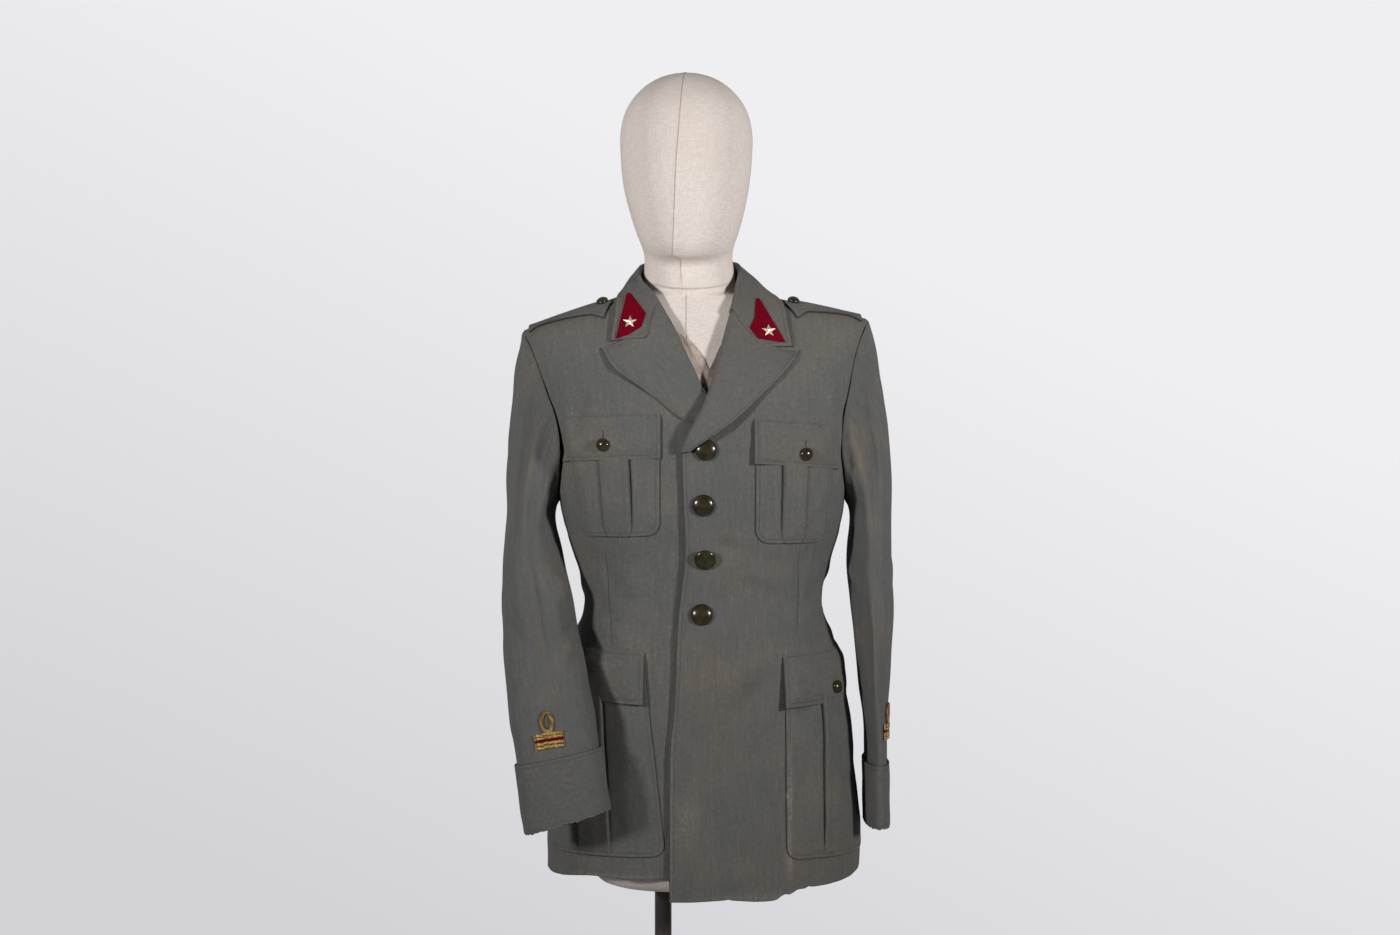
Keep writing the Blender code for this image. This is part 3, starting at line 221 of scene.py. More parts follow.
# Materials
class Finish(Graph):
    """The node tree of one material."""

    def __init__(self, name, roughness, metallic=0.0, sheen=0.0, shine=0.5):
        self.material = bpy.data.materials.new(name)
        self.material.use_nodes = True
        super().__init__(self.material.node_tree)
        self.shader = self.tree.nodes["Principled BSDF"]
        for key, value in (("Roughness", roughness), ("Metallic", metallic), ("Sheen Weight", sheen),
                           ("Sheen Roughness", 0.4), ("Specular IOR Level", shine)):
            self.shader.inputs[key].default_value = value

    def attribute(self, name):
        """A vector attribute of the mesh."""
        return self.node("Attribute", {}, output="Vector", attribute_name=name)

    def step(self, low, high, value):
        return self.node("MapRange", {"Value": value, "From Min": low, "From Max": high},
                         interpolation_type="SMOOTHSTEP")

    def line(self, distance, width):
        """One on a line and zero from its width away."""
        return self.step(width, 0.0, self.math("ABSOLUTE", distance))

    def ripple(self, distance, length):
        """A sine with one wave in each length of a distance."""
        return self.math("SINE", self.times(distance, 2 * math.pi / length))

    def seam(self):
        """How much of a seam shows, by the distances to two of them and their strength."""
        first, second, strength = self.split(self.attribute("seam"))
        nearer = self.math("MAXIMUM", self.line(first, 0.0010), self.line(second, 0.0010))
        return self.times(nearer, strength)

    def noise(self, size, detail=2.0, vector=None, roughness=0.5):
        inputs = {"Scale": 1.0 / size, "Detail": detail, "Roughness": roughness}
        inputs["Vector"] = vector if vector else self.node("TexCoord", {}, output="Object")
        return self.node("TexNoise", inputs, output="Fac")

    def scaled(self, vector, scale):
        return self.node("Mapping", {0: vector, 3: scale})

    def colour(self, value):
        self.feed(self.shader.inputs["Base Color"], value)

    def clouded(self, low, high, value, first, second):
        """Colours the surface from one colour to another as a value rises."""
        self.colour(self.blend(self.step(low, high, value), first, second))

    def bump(self, height, distance):
        """Gives the surface its fine relief, and hands over the finished material."""
        made = self.node("Bump", {"Height": height, "Distance": distance, "Strength": 1.0})
        self.feed(self.shader.inputs["Normal"], made)
        return self.material


def plain(name, colour, roughness):
    made = Finish(name, roughness)
    made.colour(colour)
    return made.material


GABARDINE = (0.127, 0.126, 0.121)
GABARDINE_DARK = (0.080, 0.081, 0.079)
GABARDINE_PALE = (0.205, 0.198, 0.184)
# Faded brown of the cloth, also used as painted highlight on the sleeves' raised ridges
GABARDINE_BROWN_AND_HIGHLIGHT = (0.158, 0.136, 0.108)
WORN = (0.300, 0.262, 0.210)
# Dark of seams, darts and buttonholes, and painted shade in the pockets' gaping pleat folds
SEAM_AND_PAINTED_PLEAT_SHADE = (0.012, 0.012, 0.011)
STITCH_SHADE = (0.060, 0.058, 0.052)
THREAD = (0.150, 0.140, 0.120)
# Painted shadow: the near-black line along every stitched edge
EDGE_PAINTED_SHADOW = (0.022, 0.021, 0.020)


def gabardine(name):
    """Wool twill with steep fine ribs, flecks of lighter yarn, seams, top stitches and wear, with
    painted shadow along stitched edges, painted shade in gaping pleat folds and painted highlight along
    sleeve ridges.
    """
    g = Finish(name, 0.88, sheen=0.06, shine=0.25)
    cloth = g.attribute("cloth")
    across, along, edge = g.split(cloth)
    rubbed, browned_and_ridge_highlight, _ = g.split(g.attribute("wear"))
    rib = g.ripple(g.total((0.87, across), (0.50, along)), 0.0011)
    fleck = g.noise(0.0014, 3.0, cloth, 0.7)
    soft = g.noise(0.0050, 3.0, cloth, 0.6)
    yarn = g.noise(0.0040, 2.0, g.scaled(cloth, (1.0, 0.12, 1.0)))
    broad = g.noise(0.070, 3.0)
    tone = g.total((2.6, fleck), (1.4, soft), (1.2, yarn), (0.5, broad), (0.06, rib), start=-2.85)
    brown = g.math("ADD", browned_and_ridge_highlight, g.step(0.50, 0.72, broad))
    worn = g.times(rubbed, g.step(0.30, 0.62, g.noise(0.0045, 4.0, cloth, 0.65)))
    stitch_line = g.line(g.math("SUBTRACT", edge, 0.005), 0.0008)
    dash = g.step(-0.35, 0.25, g.ripple(g.math("ADD", across, along), 0.0028))
    stitch = g.times(stitch_line, dash)
    seam = g.seam()
    colour = GABARDINE
    for share, over in (
            # brown from faded places and noise, and on sleeves the paler brown of painted highlight
            # along raised creases
            (g.times(brown, 0.55), GABARDINE_BROWN_AND_HIGHLIGHT),
            (g.step(0.0, 1.1, tone), GABARDINE_PALE),
            (g.step(0.0, -1.1, tone), GABARDINE_DARK),
            (worn, WORN),
            # seams are dark; on pockets the same line is painted shade in the gaping pleat folds
            (g.times(seam, 0.9), SEAM_AND_PAINTED_PLEAT_SHADE),
            (g.times(stitch_line, 0.20), STITCH_SHADE),
            (g.times(stitch, 0.35), THREAD),
            # painted shadow along each stitched edge, where the edge stands off the cloth under it
            (g.times(g.line(edge, 0.0012), 0.75), EDGE_PAINTED_SHADOW)):
        colour = g.blend(share, colour, over)
    g.colour(colour)
    height = g.total((0.10, rib), (0.9, fleck), (-2.2, seam), (-0.8, stitch_line), (1.5, stitch))
    return g.bump(height, 0.0005)


def satin(name, colour):
    """Smooth lining with a fine rib and soft streaks along it."""
    g = Finish(name, 0.42, sheen=0.1)
    streak = g.noise(0.0007, 3.0, g.scaled(g.attribute("cloth"), (1.0, 0.05, 1.0)))
    tone = g.total((0.5, streak), (0.5, g.noise(0.012, 3.0)))
    dark = tuple(part * 0.55 for part in colour)
    pale = tuple(min(part * 1.35, 1.0) for part in colour)
    g.clouded(0.30, 0.70, tone, dark, pale)
    return g.bump(streak, 0.00015)


def linen(name):
    """Cream linen drawn over the form: plain weave with slubs, seams and faint grey handling."""
    g = Finish(name, 0.86, sheen=0.08)
    place = g.node("TexCoord", {}, output="Object")
    x, _, z = g.split(place)
    weft = g.noise(0.0011, 2.0, g.scaled(place, (0.12, 0.12, 1.0)))
    warp = g.noise(0.0011, 2.0, g.scaled(place, (1.0, 1.0, 0.10)))
    weave = g.times(g.ripple(x, 0.0012), g.ripple(z, 0.0012))
    tone = g.total((0.5, weft), (0.5, warp))
    handled = g.step(0.45, 0.75, g.noise(0.11, 3.0))
    seam = g.seam()
    colour = g.blend(g.step(0.35, 0.68, tone), (0.72, 0.630, 0.565), (0.84, 0.765, 0.705))
    colour = g.blend(g.times(handled, 0.30), colour, (0.70, 0.585, 0.500))
    g.colour(g.blend(g.times(seam, 0.60), colour, (0.34, 0.27, 0.21)))
    return g.bump(g.total((0.9, tone), (0.12, weave), (-1.6, seam)), 0.0004)


def felt(name):
    """Crimson felt with a short nap."""
    g = Finish(name, 0.95, shine=0.05)
    nap = g.noise(0.0007, 3.0)
    tone = g.total((0.6, nap), (0.4, g.noise(0.014, 3.0)))
    g.clouded(0.30, 0.70, tone, (0.130, 0.0008, 0.0070), (0.205, 0.0016, 0.0130))
    return g.bump(nap, 0.0004)


def gold_wire(name):
    """Tarnished gold bullion: tight coils of wire laid side by side."""
    g = Finish(name, 0.42, metallic=0.35)
    place = g.attribute("cloth")
    coil = g.ripple(g.split(place)[0], 0.0009)
    patch = g.noise(0.0032, 4.0, place, 0.6)
    g.clouded(0.40, 0.62, patch, (0.330, 0.165, 0.040), (1.0, 0.700, 0.230))
    return g.bump(g.math("ADD", coil, patch), 0.0003)


def brass(name):
    """Pale worn brass, clouded darker and paler."""
    g = Finish(name, 0.36, metallic=0.4)
    patch = g.noise(0.0016, 3.0)
    g.clouded(0.35, 0.65, patch, (0.52, 0.40, 0.26), (0.90, 0.78, 0.60))
    return g.bump(patch, 0.00012)


def corozo(name):
    """A polished dark olive-brown button, clouded and finely scratched."""
    g = Finish(name, 0.20)
    g.clouded(0.35, 0.70, g.noise(0.0090, 3.0), (0.026, 0.021, 0.009), (0.046, 0.038, 0.017))
    return g.bump(g.noise(0.0008, 3.0), 0.00003)


def painted(name):
    """Dark satin paint on steel with a fine orange-peel and a few rubbed marks."""
    g = Finish(name, 0.34, metallic=0.2)
    g.clouded(0.55, 0.72, g.noise(0.022, 5.0), (0.056, 0.046, 0.040), (0.105, 0.086, 0.072))
    return g.bump(g.noise(0.0018, 2.0), 0.00008)


# The body's surface
def smooth(low, high, value):
    part = np.clip((np.asarray(value) - low) / (high - low), 0.0, 1.0)
    return part * part * (3.0 - 2.0 * part)


def fade(low, high, value):
    return 1.0 - smooth(low, high, value)


def bell(distance, width):
    """One at no distance, and falling off evenly on both sides of it."""
    return np.exp(-(distance / width) ** 2)


def mix(first, second, share):
    return first + (second - first) * share


def stacked(*parts):
    """Joins arrays of single numbers, spread over each other, to one array of rows of them."""
    return np.stack(np.broadcast_arrays(*parts), axis=-1)


def hermite(share, step, start, stop, slope, last_slope):
    """A smooth curve from start to stop, with its slopes there, at a share of the step."""
    rest = 1 - share
    near = (1 + 2 * share) * rest ** 2 * start + share * rest ** 2 * step * slope
    return near + share * share * (3 - 2 * share) * stop - share * share * rest * step * last_slope


def unit(vectors):
    return vectors / np.linalg.norm(vectors, axis=-1, keepdims=True)


class Table:
    """Rows of named columns, read as smooth curves over the first column, with no overshoot."""

    def __init__(self, names, *rows):
        self.names = names.split()
        self.rows = np.array(rows, dtype=float)
        xs = self.rows[:, 0]
        step = np.diff(xs)[:, None]
        rise = np.diff(self.rows, axis=0) / step
        slopes = np.zeros_like(self.rows)
        slopes[0] = rise[0]
        slopes[-1] = rise[-1]
        first = 2 * step[1:] + step[:-1]
        second = step[1:] + 2 * step[:-1]
        same = rise[:-1] * rise[1:] > 0
        low = np.where(same, rise[:-1], 1.0)
        high = np.where(same, rise[1:], 1.0)
        slopes[1:-1] = np.where(same, (first + second) / (first / low + second / high), 0.0)
        self.slopes = slopes

    def __call__(self, name, at):
        column = self.names.index(name)
        xs = self.rows[:, 0]
        ys = self.rows[:, column]
        at = np.clip(at, xs[0], xs[-1])
        k = np.clip(np.searchsorted(xs, at, side="right") - 1, 0, len(xs) - 2)
        step = xs[k + 1] - xs[k]
        slopes = self.slopes[:, column]
        return hermite((at - xs[k]) / step, step, ys[k], ys[k + 1], slopes[k], slopes[k + 1])

    def point(self, at, *names):
        return np.array([float(self(name, at)) for name in names])


BODY = Table(
    "z     half    front   back    square",
    (0.400, 0.1905, 0.1240, 0.1250, 2.60),
    (0.454, 0.1935, 0.1235, 0.1250, 2.60),
    (0.491, 0.1935, 0.1225, 0.1240, 2.60),
    (0.566, 0.1860, 0.1190, 0.1210, 2.60),
    (0.604, 0.1835, 0.1175, 0.1190, 2.60),
    (0.660, 0.1750, 0.1140, 0.1120, 2.55),
    (0.698, 0.1690, 0.1110, 0.1060, 2.50),
    (0.735, 0.1560, 0.1075, 0.0980, 2.45),
    (0.773, 0.1480, 0.1050, 0.0950, 2.40),
    (0.810, 0.1560, 0.1080, 0.0980, 2.40),
    (0.850, 0.1690, 0.1130, 0.1050, 2.60),
    (0.890, 0.1775, 0.1175, 0.1110, 2.80),
    (0.950, 0.1840, 0.1200, 0.1160, 2.90),
    (1.000, 0.1920, 0.1170, 0.1170, 2.85),
    (1.050, 0.2050, 0.1060, 0.1100, 2.75),
    (1.090, 0.2160, 0.0900, 0.0960, 2.65),
    (1.106, 0.2195, 0.0820, 0.0890, 2.60),
    (1.116, 0.2145, 0.0765, 0.0840, 2.55),
    (1.124, 0.1863, 0.0730, 0.0800, 2.45),
    (1.137, 0.1306, 0.0665, 0.0735, 2.30),
    (1.150, 0.0750, 0.0600, 0.0660, 2.00),
)
SWAY = Table("z x", (0.85, 0.0), (0.96, -0.003), (1.01, -0.005), (1.065, -0.0085), (1.11, -0.0095),
             (1.16, -0.017), (1.24, -0.019), (1.35, -0.021), (1.43, -0.021))
ARMHOLE = Table(
    "z     front_x back_x",
    (0.890, 0.1774, 0.1774),
    (0.900, 0.1760, 0.1764),
    (0.925, 0.1725, 0.1745),
    (0.955, 0.1710, 0.1745),
    (0.990, 0.1750, 0.1790),
    (1.030, 0.1860, 0.1885),
    (1.065, 0.1945, 0.1970),
    (1.090, 0.2030, 0.2055),
    (1.107, 0.2105, 0.2115),
    (1.116, 0.2145, 0.2145),
)
ARMHOLE_LEVELS = tuple(ARMHOLE.rows[:, 0].tolist())
HEM_START = 0.430
HEM_LEFT = Table("x z", (-0.045, 0.4145), (0.030, 0.4175), (0.081, 0.4170), (0.101, 0.4210),
                 (0.127, 0.4290), (0.178, 0.4350), (0.1935, 0.4400))
HEM_RIGHT = Table("x z", (-0.1935, 0.4370), (-0.128, 0.4430), (-0.045, 0.4400), (0.030, 0.4380))
HEM_BACK = Table("x z", (-0.1935, 0.4370), (-0.100, 0.4390), (0.100, 0.4390), (0.1935, 0.4400))
EDGE_LEFT = Table("z x", (0.400, -0.0405), (0.574, -0.0405), (0.648, -0.0350), (0.742, -0.0310),
                  (0.836, -0.0220), (0.889, -0.0240), (0.946, -0.0256), (0.984, -0.0090),
                  (1.011, 0.0055), (1.052, 0.0185), (1.119, 0.0365), (1.135, 0.0430), (1.150, 0.0490))
EDGE_RIGHT = Table("z x", (0.400, 0.0250), (0.946, 0.0250), (1.000, 0.0140), (1.030, -0.0035),
                   (1.085, -0.0305), (1.120, -0.0505), (1.135, -0.0600), (1.150, -0.0700))
FOOT_Z = 0.400
STEP = 0.001
X_SHARES = 1200
GIRTHS = np.arange(0.0, 0.640, STEP)


def make_lookups():
    """Places by girth, girths by place, and the girth at the sides, for levels STEP apart."""
    levels = np.arange(FOOT_Z, NECKLINE_Z + STEP / 2, STEP)
    angle = np.linspace(0.0, math.pi, 1801)
    shares = np.linspace(0.0, 1.0, X_SHARES + 1)
    places = np.zeros((len(levels), len(GIRTHS), 2))
    by_x = np.zeros((2, len(levels), len(shares)))
    ends = np.zeros((2, len(levels)))
    for row, z in enumerate(levels):
        power = 2.0 / BODY("square", z)
        x = BODY("half", z) * np.clip(np.sin(angle), 0.0, 1.0) ** power
        along = np.abs(np.cos(angle)) ** power
        y = np.where(angle <= math.pi / 2, -BODY("front", z) * along, BODY("back", z) * along)
        reach = np.concatenate([[0.0], np.cumsum(np.hypot(np.diff(x), np.diff(y)))])
        full = np.concatenate([reach, 2 * reach[-1] - reach[-2::-1]])
        places[row, :, 0] = np.interp(GIRTHS, full, np.concatenate([x, -x[-2::-1]]))
        places[row, :, 1] = np.interp(GIRTHS, full, np.concatenate([y, y[-2::-1]]))
        half = len(x) // 2
        by_x[0, row] = np.interp(shares * x[half], x[:half + 1], reach[:half + 1])
        by_x[1, row] = np.interp(shares * x[half], x[half:][::-1], reach[half:][::-1])
        ends[:, row] = reach[half], reach[-1]
    return levels, places, by_x, ends


LEVEL_ROWS, PLACES, BY_X, GIRTH_ENDS = make_lookups()


def look(grid, row, column):
    """Reads a grid between its rows and columns."""
    row = np.clip(row, 0.0, grid.shape[0] - 1.0001)
    column = np.clip(column, 0.0, grid.shape[1] - 1.0001)
    r = row.astype(int)
    c = column.astype(int)
    down = row - r
    right = column - c
    if grid.ndim == 3:
        down = down[..., None]
        right = right[..., None]
    upper = grid[r, c] * (1 - right) + grid[r, c + 1] * right
    lower = grid[r + 1, c] * (1 - right) + grid[r + 1, c + 1] * right
    return upper * (1 - down) + lower * down


def shoulder_drop(x, z):
    """How far the wearer's right shoulder hangs at a place of the upright body."""
    outward = np.clip((-x - 0.075) / 0.154, 0.0, 1.3)
    return SHOULDER_DROP * outward * smooth(0.96, SHOULDER_Z, z)


def lean(points):
    """Moves points of the upright body to where the leaning figure has them."""
    x, y, z = np.moveaxis(points, -1, 0)
    return stacked(x + SWAY("x", z) + AXIS_X, y, z - shoulder_drop(x, z))


def unlean(x, z):
    upright = x - SWAY("x", z)
    return upright, z + shoulder_drop(upright, z)


def upright_skin(girth, z):
    """Places on the upright body at a distance round from the centre front."""
    girth, z = np.broadcast_arrays(np.asarray(girth, float), np.asarray(z, float))
    place = look(PLACES, (z - FOOT_Z) / STEP, np.abs(girth) / STEP)
    side = np.where(girth < 0, -1.0, 1.0)
    return stacked(side * place[..., 0], place[..., 1], z)


def side_girth(z):
    return np.interp(z, LEVEL_ROWS, GIRTH_ENDS[0])


def girth_of_x(x, z, back=0):
    """The girth of a place on the front, or on the back, by its x on the upright body."""
    x, z = np.broadcast_arrays(np.asarray(x, float), np.asarray(z, float))
    share = np.abs(x) / BODY("half", z) * X_SHARES
    return np.copysign(look(BY_X[back], (z - FOOT_Z) / STEP, share), x)


# Creases: both ends, how far the middle bows aside, half width, height (below zero a trough), and
# where along the length the crease is strongest. Front and back are laid out by x and height as
# seen from the front, sides by the distance behind the side seam and height.
CREASES = {
    "front": (
        (0.0080, 0.8420, 0.0560, 0.8240, 0.0030, 0.0085, -0.0026, 0.35),
        (0.0460, 0.8180, 0.1100, 0.7860, -0.0050, 0.0120, 0.0026, 0.40),
        (0.0300, 0.7900, 0.0850, 0.7780, 0.0040, 0.0110, -0.0020, 0.50),
        (-0.0420, 0.8080, -0.1080, 0.7720, 0.0040, 0.0110, 0.0022, 0.50),
        (-0.0380, 0.7780, -0.0900, 0.7400, 0.0050, 0.0120, -0.0024, 0.45),
        (0.0790, 0.7200, -0.0180, 0.6280, 0.0070, 0.0130, 0.0040, 0.35),
        (0.0880, 0.6900, 0.0020, 0.6030, 0.0060, 0.0110, -0.0030, 0.40),
        (0.0900, 0.6600, 0.0230, 0.5700, 0.0040, 0.0120, 0.0026, 0.45),
        (0.0860, 0.5900, 0.0500, 0.5150, 0.0030, 0.0100, -0.0018, 0.50),
        (0.0100, 0.5700, 0.0650, 0.4850, -0.0060, 0.0170, 0.0024, 0.50),
        (-0.0560, 0.7150, -0.0600, 0.5600, 0.0030, 0.0100, 0.0024, 0.40),
        (-0.1450, 1.0500, -0.1620, 0.9550, 0.0040, 0.0110, -0.0028, 0.55),
        (0.1300, 1.0520, 0.1540, 0.9500, -0.0050, 0.0120, -0.0026, 0.50),
        (-0.0700, 1.0450, -0.1200, 1.0150, 0.0040, 0.0140, 0.0016, 0.50),
        (-0.1450, 0.8300, -0.1050, 0.7450, 0.0040, 0.0100, 0.0026, 0.50),
        (0.1430, 0.8350, 0.1180, 0.7500, -0.0040, 0.0100, 0.0026, 0.45),
        (0.0400, 0.9350, 0.0560, 0.8500, 0.0030, 0.0100, 0.0014, 0.50),
        (-0.1250, 0.7400, -0.0750, 0.7050, 0.0040, 0.0090, 0.0020, 0.40),
        (-0.1840, 1.0120, -0.1420, 0.7800, 0.0060, 0.0085, -0.0050, 0.25),
        (0.1890, 1.0150, 0.1780, 0.7850, 0.0030, 0.0085, -0.0070, 0.25),
    ),
    "back": (
        (-0.0100, 0.8150, -0.0950, 0.7850, 0.0060, 0.0120, 0.0034, 0.40),
        (0.0080, 0.8050, 0.0900, 0.7700, -0.0070, 0.0130, 0.0036, 0.45),
        (-0.0150, 0.7800, -0.0800, 0.7350, 0.0050, 0.0110, -0.0030, 0.50),
        (0.0150, 0.7700, 0.0700, 0.7250, -0.0050, 0.0110, -0.0026, 0.50),
        (-0.1100, 1.0500, -0.0500, 0.9300, -0.0080, 0.0170, 0.0032, 0.45),
        (0.1150, 1.0450, 0.0550, 0.9350, 0.0080, 0.0160, 0.0030, 0.50),
        (-0.1400, 1.0000, -0.1300, 0.9000, 0.0060, 0.0120, -0.0030, 0.50),
        (0.1380, 1.0050, 0.1320, 0.8950, -0.0060, 0.0120, -0.0032, 0.45),
        (-0.0700, 0.6900, -0.0600, 0.4900, 0.0060, 0.0180, 0.0042, 0.70),
        (0.0800, 0.7000, 0.0720, 0.4800, -0.0060, 0.0190, 0.0040, 0.75),
        (0.0180, 0.6300, 0.0240, 0.4700, 0.0030, 0.0140, -0.0026, 0.70),
    ),
    "left": (
        (-0.0300, 0.8150, 0.0350, 0.7800, 0.0050, 0.0110, 0.0032, 0.45),
        (0.0300, 0.7900, -0.0250, 0.7550, 0.0040, 0.0100, -0.0028, 0.50),
        (-0.0350, 0.7450, 0.0400, 0.7200, -0.0050, 0.0110, 0.0026, 0.50),
        (0.0150, 0.6600, 0.0220, 0.4800, 0.0050, 0.0160, 0.0040, 0.70),
    ),
    "right": (
        (-0.0350, 0.8050, 0.0300, 0.7750, -0.0050, 0.0110, 0.0030, 0.50),
        (0.0350, 0.7800, -0.0300, 0.7450, 0.0050, 0.0100, -0.0028, 0.45),
        (-0.0250, 0.7350, 0.0350, 0.7050, 0.0040, 0.0100, 0.0024, 0.50),
        (0.0200, 0.6700, 0.0120, 0.4700, -0.0050, 0.0170, 0.0042, 0.65),
    ),
}


def crease_field(creases, x, z):
    """The height of all creases of a list, each a ridge with a softer trough beside it."""
    total = np.zeros(np.broadcast(x, z).shape)
    for x0, z0, x1, z1, bow, width, height, peak in creases:
        run = np.array([x1 - x0, z1 - z0])
        length = np.linalg.norm(run)
        ahead = run / length
        t = np.clip(((x - x0) * ahead[0] + (z - z0) * ahead[1]) / length, 0.0, 1.0)
        aside = (x - x0) * -ahead[1] + (z - z0) * ahead[0] - bow * 4 * t * (1 - t)
        past = np.hypot(x - x0 - ahead[0] * t * length, z - z0 - ahead[1] * t * length)
        taper = smooth(0.0, peak, t) * fade(peak, 1.0, t)
        ridge = bell(aside, width) - 0.45 * bell(aside - 1.5 * width, width)
        near = past < 6 * width + abs(bow) * 2
        total = total + np.where(near, height * ridge * taper, 0.0)
    return total


def waves(a, b, size, seed):
    """Slow unevenness of worn cloth, from about -1 to 1."""
    draw = np.random.default_rng(seed)
    total = 0.0
    for _ in range(6):
        turn = draw.uniform(0.0, 2 * math.pi)
        scale = draw.uniform(0.7, 1.5) * 2 * math.pi / size
        total = total + np.sin((a * math.cos(turn) + b * math.sin(turn)) * scale
                               + draw.uniform(0.0, 2 * math.pi))
    return total / 3.0


def relief(girth, z):
    """How far the creases raise the body's cloth."""
    here = upright_skin(girth, z)
    x = here[..., 0] + SWAY("x", z)
    behind = smooth(-0.025, 0.035, here[..., 1])
    total = (1.0 - behind) * crease_field(CREASES["front"], x, z)
    total = total + behind * crease_field(CREASES["back"], x, z)
    aside = np.abs(girth) - side_girth(z)
    left = crease_field(CREASES["left"], aside, z)
    right = crease_field(CREASES["right"], aside, z)
    total = total + np.where(np.asarray(girth) > 0, left, right)
    calm = fade(1.03, 1.10, z)
    total = total + calm * (0.0009 * waves(girth, z, 0.11, 5) + 0.0004 * waves(girth, z, 0.035, 6))
    return np.clip(total, -0.0060, 0.0085)


def skin(girth, z, out=0.0, creased=True):
    """Places on the tunic's outside, moved out along its normals."""
    girth, z, out = np.broadcast_arrays(np.asarray(girth, float), np.asarray(z, float),
                                        np.asarray(out, float))
    here = lean(upright_skin(girth, z))
    low = np.maximum(z - 0.0015, FOOT_Z)
    high = np.minimum(z + 0.0015, NECKLINE_Z)
    across = lean(upright_skin(girth + 0.002, z)) - lean(upright_skin(girth - 0.002, z))
    up = lean(upright_skin(girth, high)) - lean(upright_skin(girth, low))
    normal = unit(np.cross(across, up))
    if creased:
        out = out + relief(girth, z)
    return here + normal * out[..., None]


def front_place(x, z, out=0.0, creased=True):
    """Places on the front that show at x and z, both measured on the leaning figure."""
    upright, height = unlean(x, z)
    return skin(girth_of_x(upright, height), height, out, creased)


def snap(x, y, z, out):
    """The place on the tunic's outside in the direction of x and y at a level."""
    row = min(int(round((z - FOOT_Z) / STEP)), len(PLACES) - 1)
    stop = int(GIRTH_ENDS[1][row] / STEP)
    reach = PLACES[row][:stop]
    girth = np.interp(math.atan2(abs(x), -y), np.arctan2(reach[:, 0], -reach[:, 1]), GIRTHS[:stop])
    return skin(math.copysign(girth, x), z, out, False)


def top_place(x, y, out):
    """The place on top of a shoulder over x and y of the upright body."""
    low, high = 1.060, NECKLINE_Z
    for _ in range(30):
        z = (low + high) / 2
        depth = BODY("front", z) if y < 0 else BODY("back", z)
        power = BODY("square", z)
        if (abs(x) / BODY("half", z)) ** power + (abs(y) / depth) ** power < 1.0:
            low = z
        else:
            high = z
    return snap(x, y, low, out)


def tuck(x, z):
    """How far the under front lies behind the over front, near the centre."""
    return TUCK * smooth(-0.095, -0.056, x) * fade(1.060, 1.110, z)


def set_back_of(node, x, z):
    """How far a piece on a front lies behind the tunic's outside."""
    return tuck(x, z) if node.endswith("right") else 0.0


# Meshes
def add_mesh(name, points, faces, materials, face_slots=None, attributes=None):
    """An object from points and faces of four, or of three with the last corner repeated."""
    points = np.asarray(points, float)
    faces = np.asarray(faces, int)
    a, b, c, d = (points[faces[:, k]] for k in range(4))
    volume = np.sum(a * np.cross(b, c)) + np.sum(a * np.cross(c, d))
    if volume < 0:
        faces = faces[:, ::-1]
    mesh = bpy.data.meshes.new(name)
    corners = [tuple(face) if face[0] != face[3] and face[2] != face[3] else
               tuple(dict.fromkeys(face)) for face in faces.tolist()]
    mesh.from_pydata(points.tolist(), [], corners)
    for item in materials:
        mesh.materials.append(item)
    if face_slots is not None:
        mesh.polygons.foreach_set("material_index", np.asarray(face_slots, np.int32))
    mesh.shade_smooth()
    for key, values in (attributes or {}).items():
        layer = mesh.attributes.new(key, "FLOAT_VECTOR", "POINT")
        layer.data.foreach_set("vector", np.asarray(values, np.float32).ravel())
    return add_object(name, mesh)


def grid_faces(rows, columns, closed=False):
    """Faces of four between the rows and columns of a grid."""
    index = np.arange(rows * columns).reshape(rows, columns)
    beside = np.roll(index, -1, axis=1)
    if not closed:
        index, beside = index[:, :-1], beside[:, :-1]
    return stacked(index[:-1], beside[:-1], beside[1:], index[1:]).reshape(-1, 4)


def grid_normals(grid, closed=False):
    """Directions square to a grid, on one side of it throughout."""
    down = np.gradient(grid, axis=0)
    if closed:
        across = np.roll(grid, -1, axis=1) - np.roll(grid, 1, axis=1)
    else:
        across = np.gradient(grid, axis=1)
    return unit(np.cross(across, down))


def facing(normals, outward):
    """Normals, turned round if they face inward."""
    return -normals if np.sum(normals * outward) < 0 else normals


def tube_normals(outer, first=0):
    """Outward normals of a closed grid, judged from its row first on."""
    normals = grid_normals(outer, True)
    away = outer - outer.mean(axis=1, keepdims=True)
    away[:first] = 0.0
    return facing(normals, away)


def from_axis(points):
    """Directions from the figure's upright axis to its places."""
    return points * (1.0, 1.0, 0.0) - (AXIS_X, 0.0, 0.0)


RIM_BULGE = 0.30


def rim_loops(rows, columns, closed):
    """Index loops round the free edges of a grid, with the neighbour inside each of them."""
    index = np.arange(rows * columns).reshape(rows, columns)
    if closed:
        return [(index[0], index[1]), (index[-1][::-1], index[-2][::-1])]
    inside = np.pad(index[1:-1, 1:-1], 1, mode="edge")
    walk = [(0, c) for c in range(columns - 1)] + [(r, columns - 1) for r in range(rows - 1)]
    walk += [(rows - 1, c) for c in range(columns - 1, 0, -1)] + [(r, 0) for r in range(rows - 1, 0, -1)]
    rs, cs = np.array(walk).T
    return [(index[rs, cs], inside[rs, cs])]


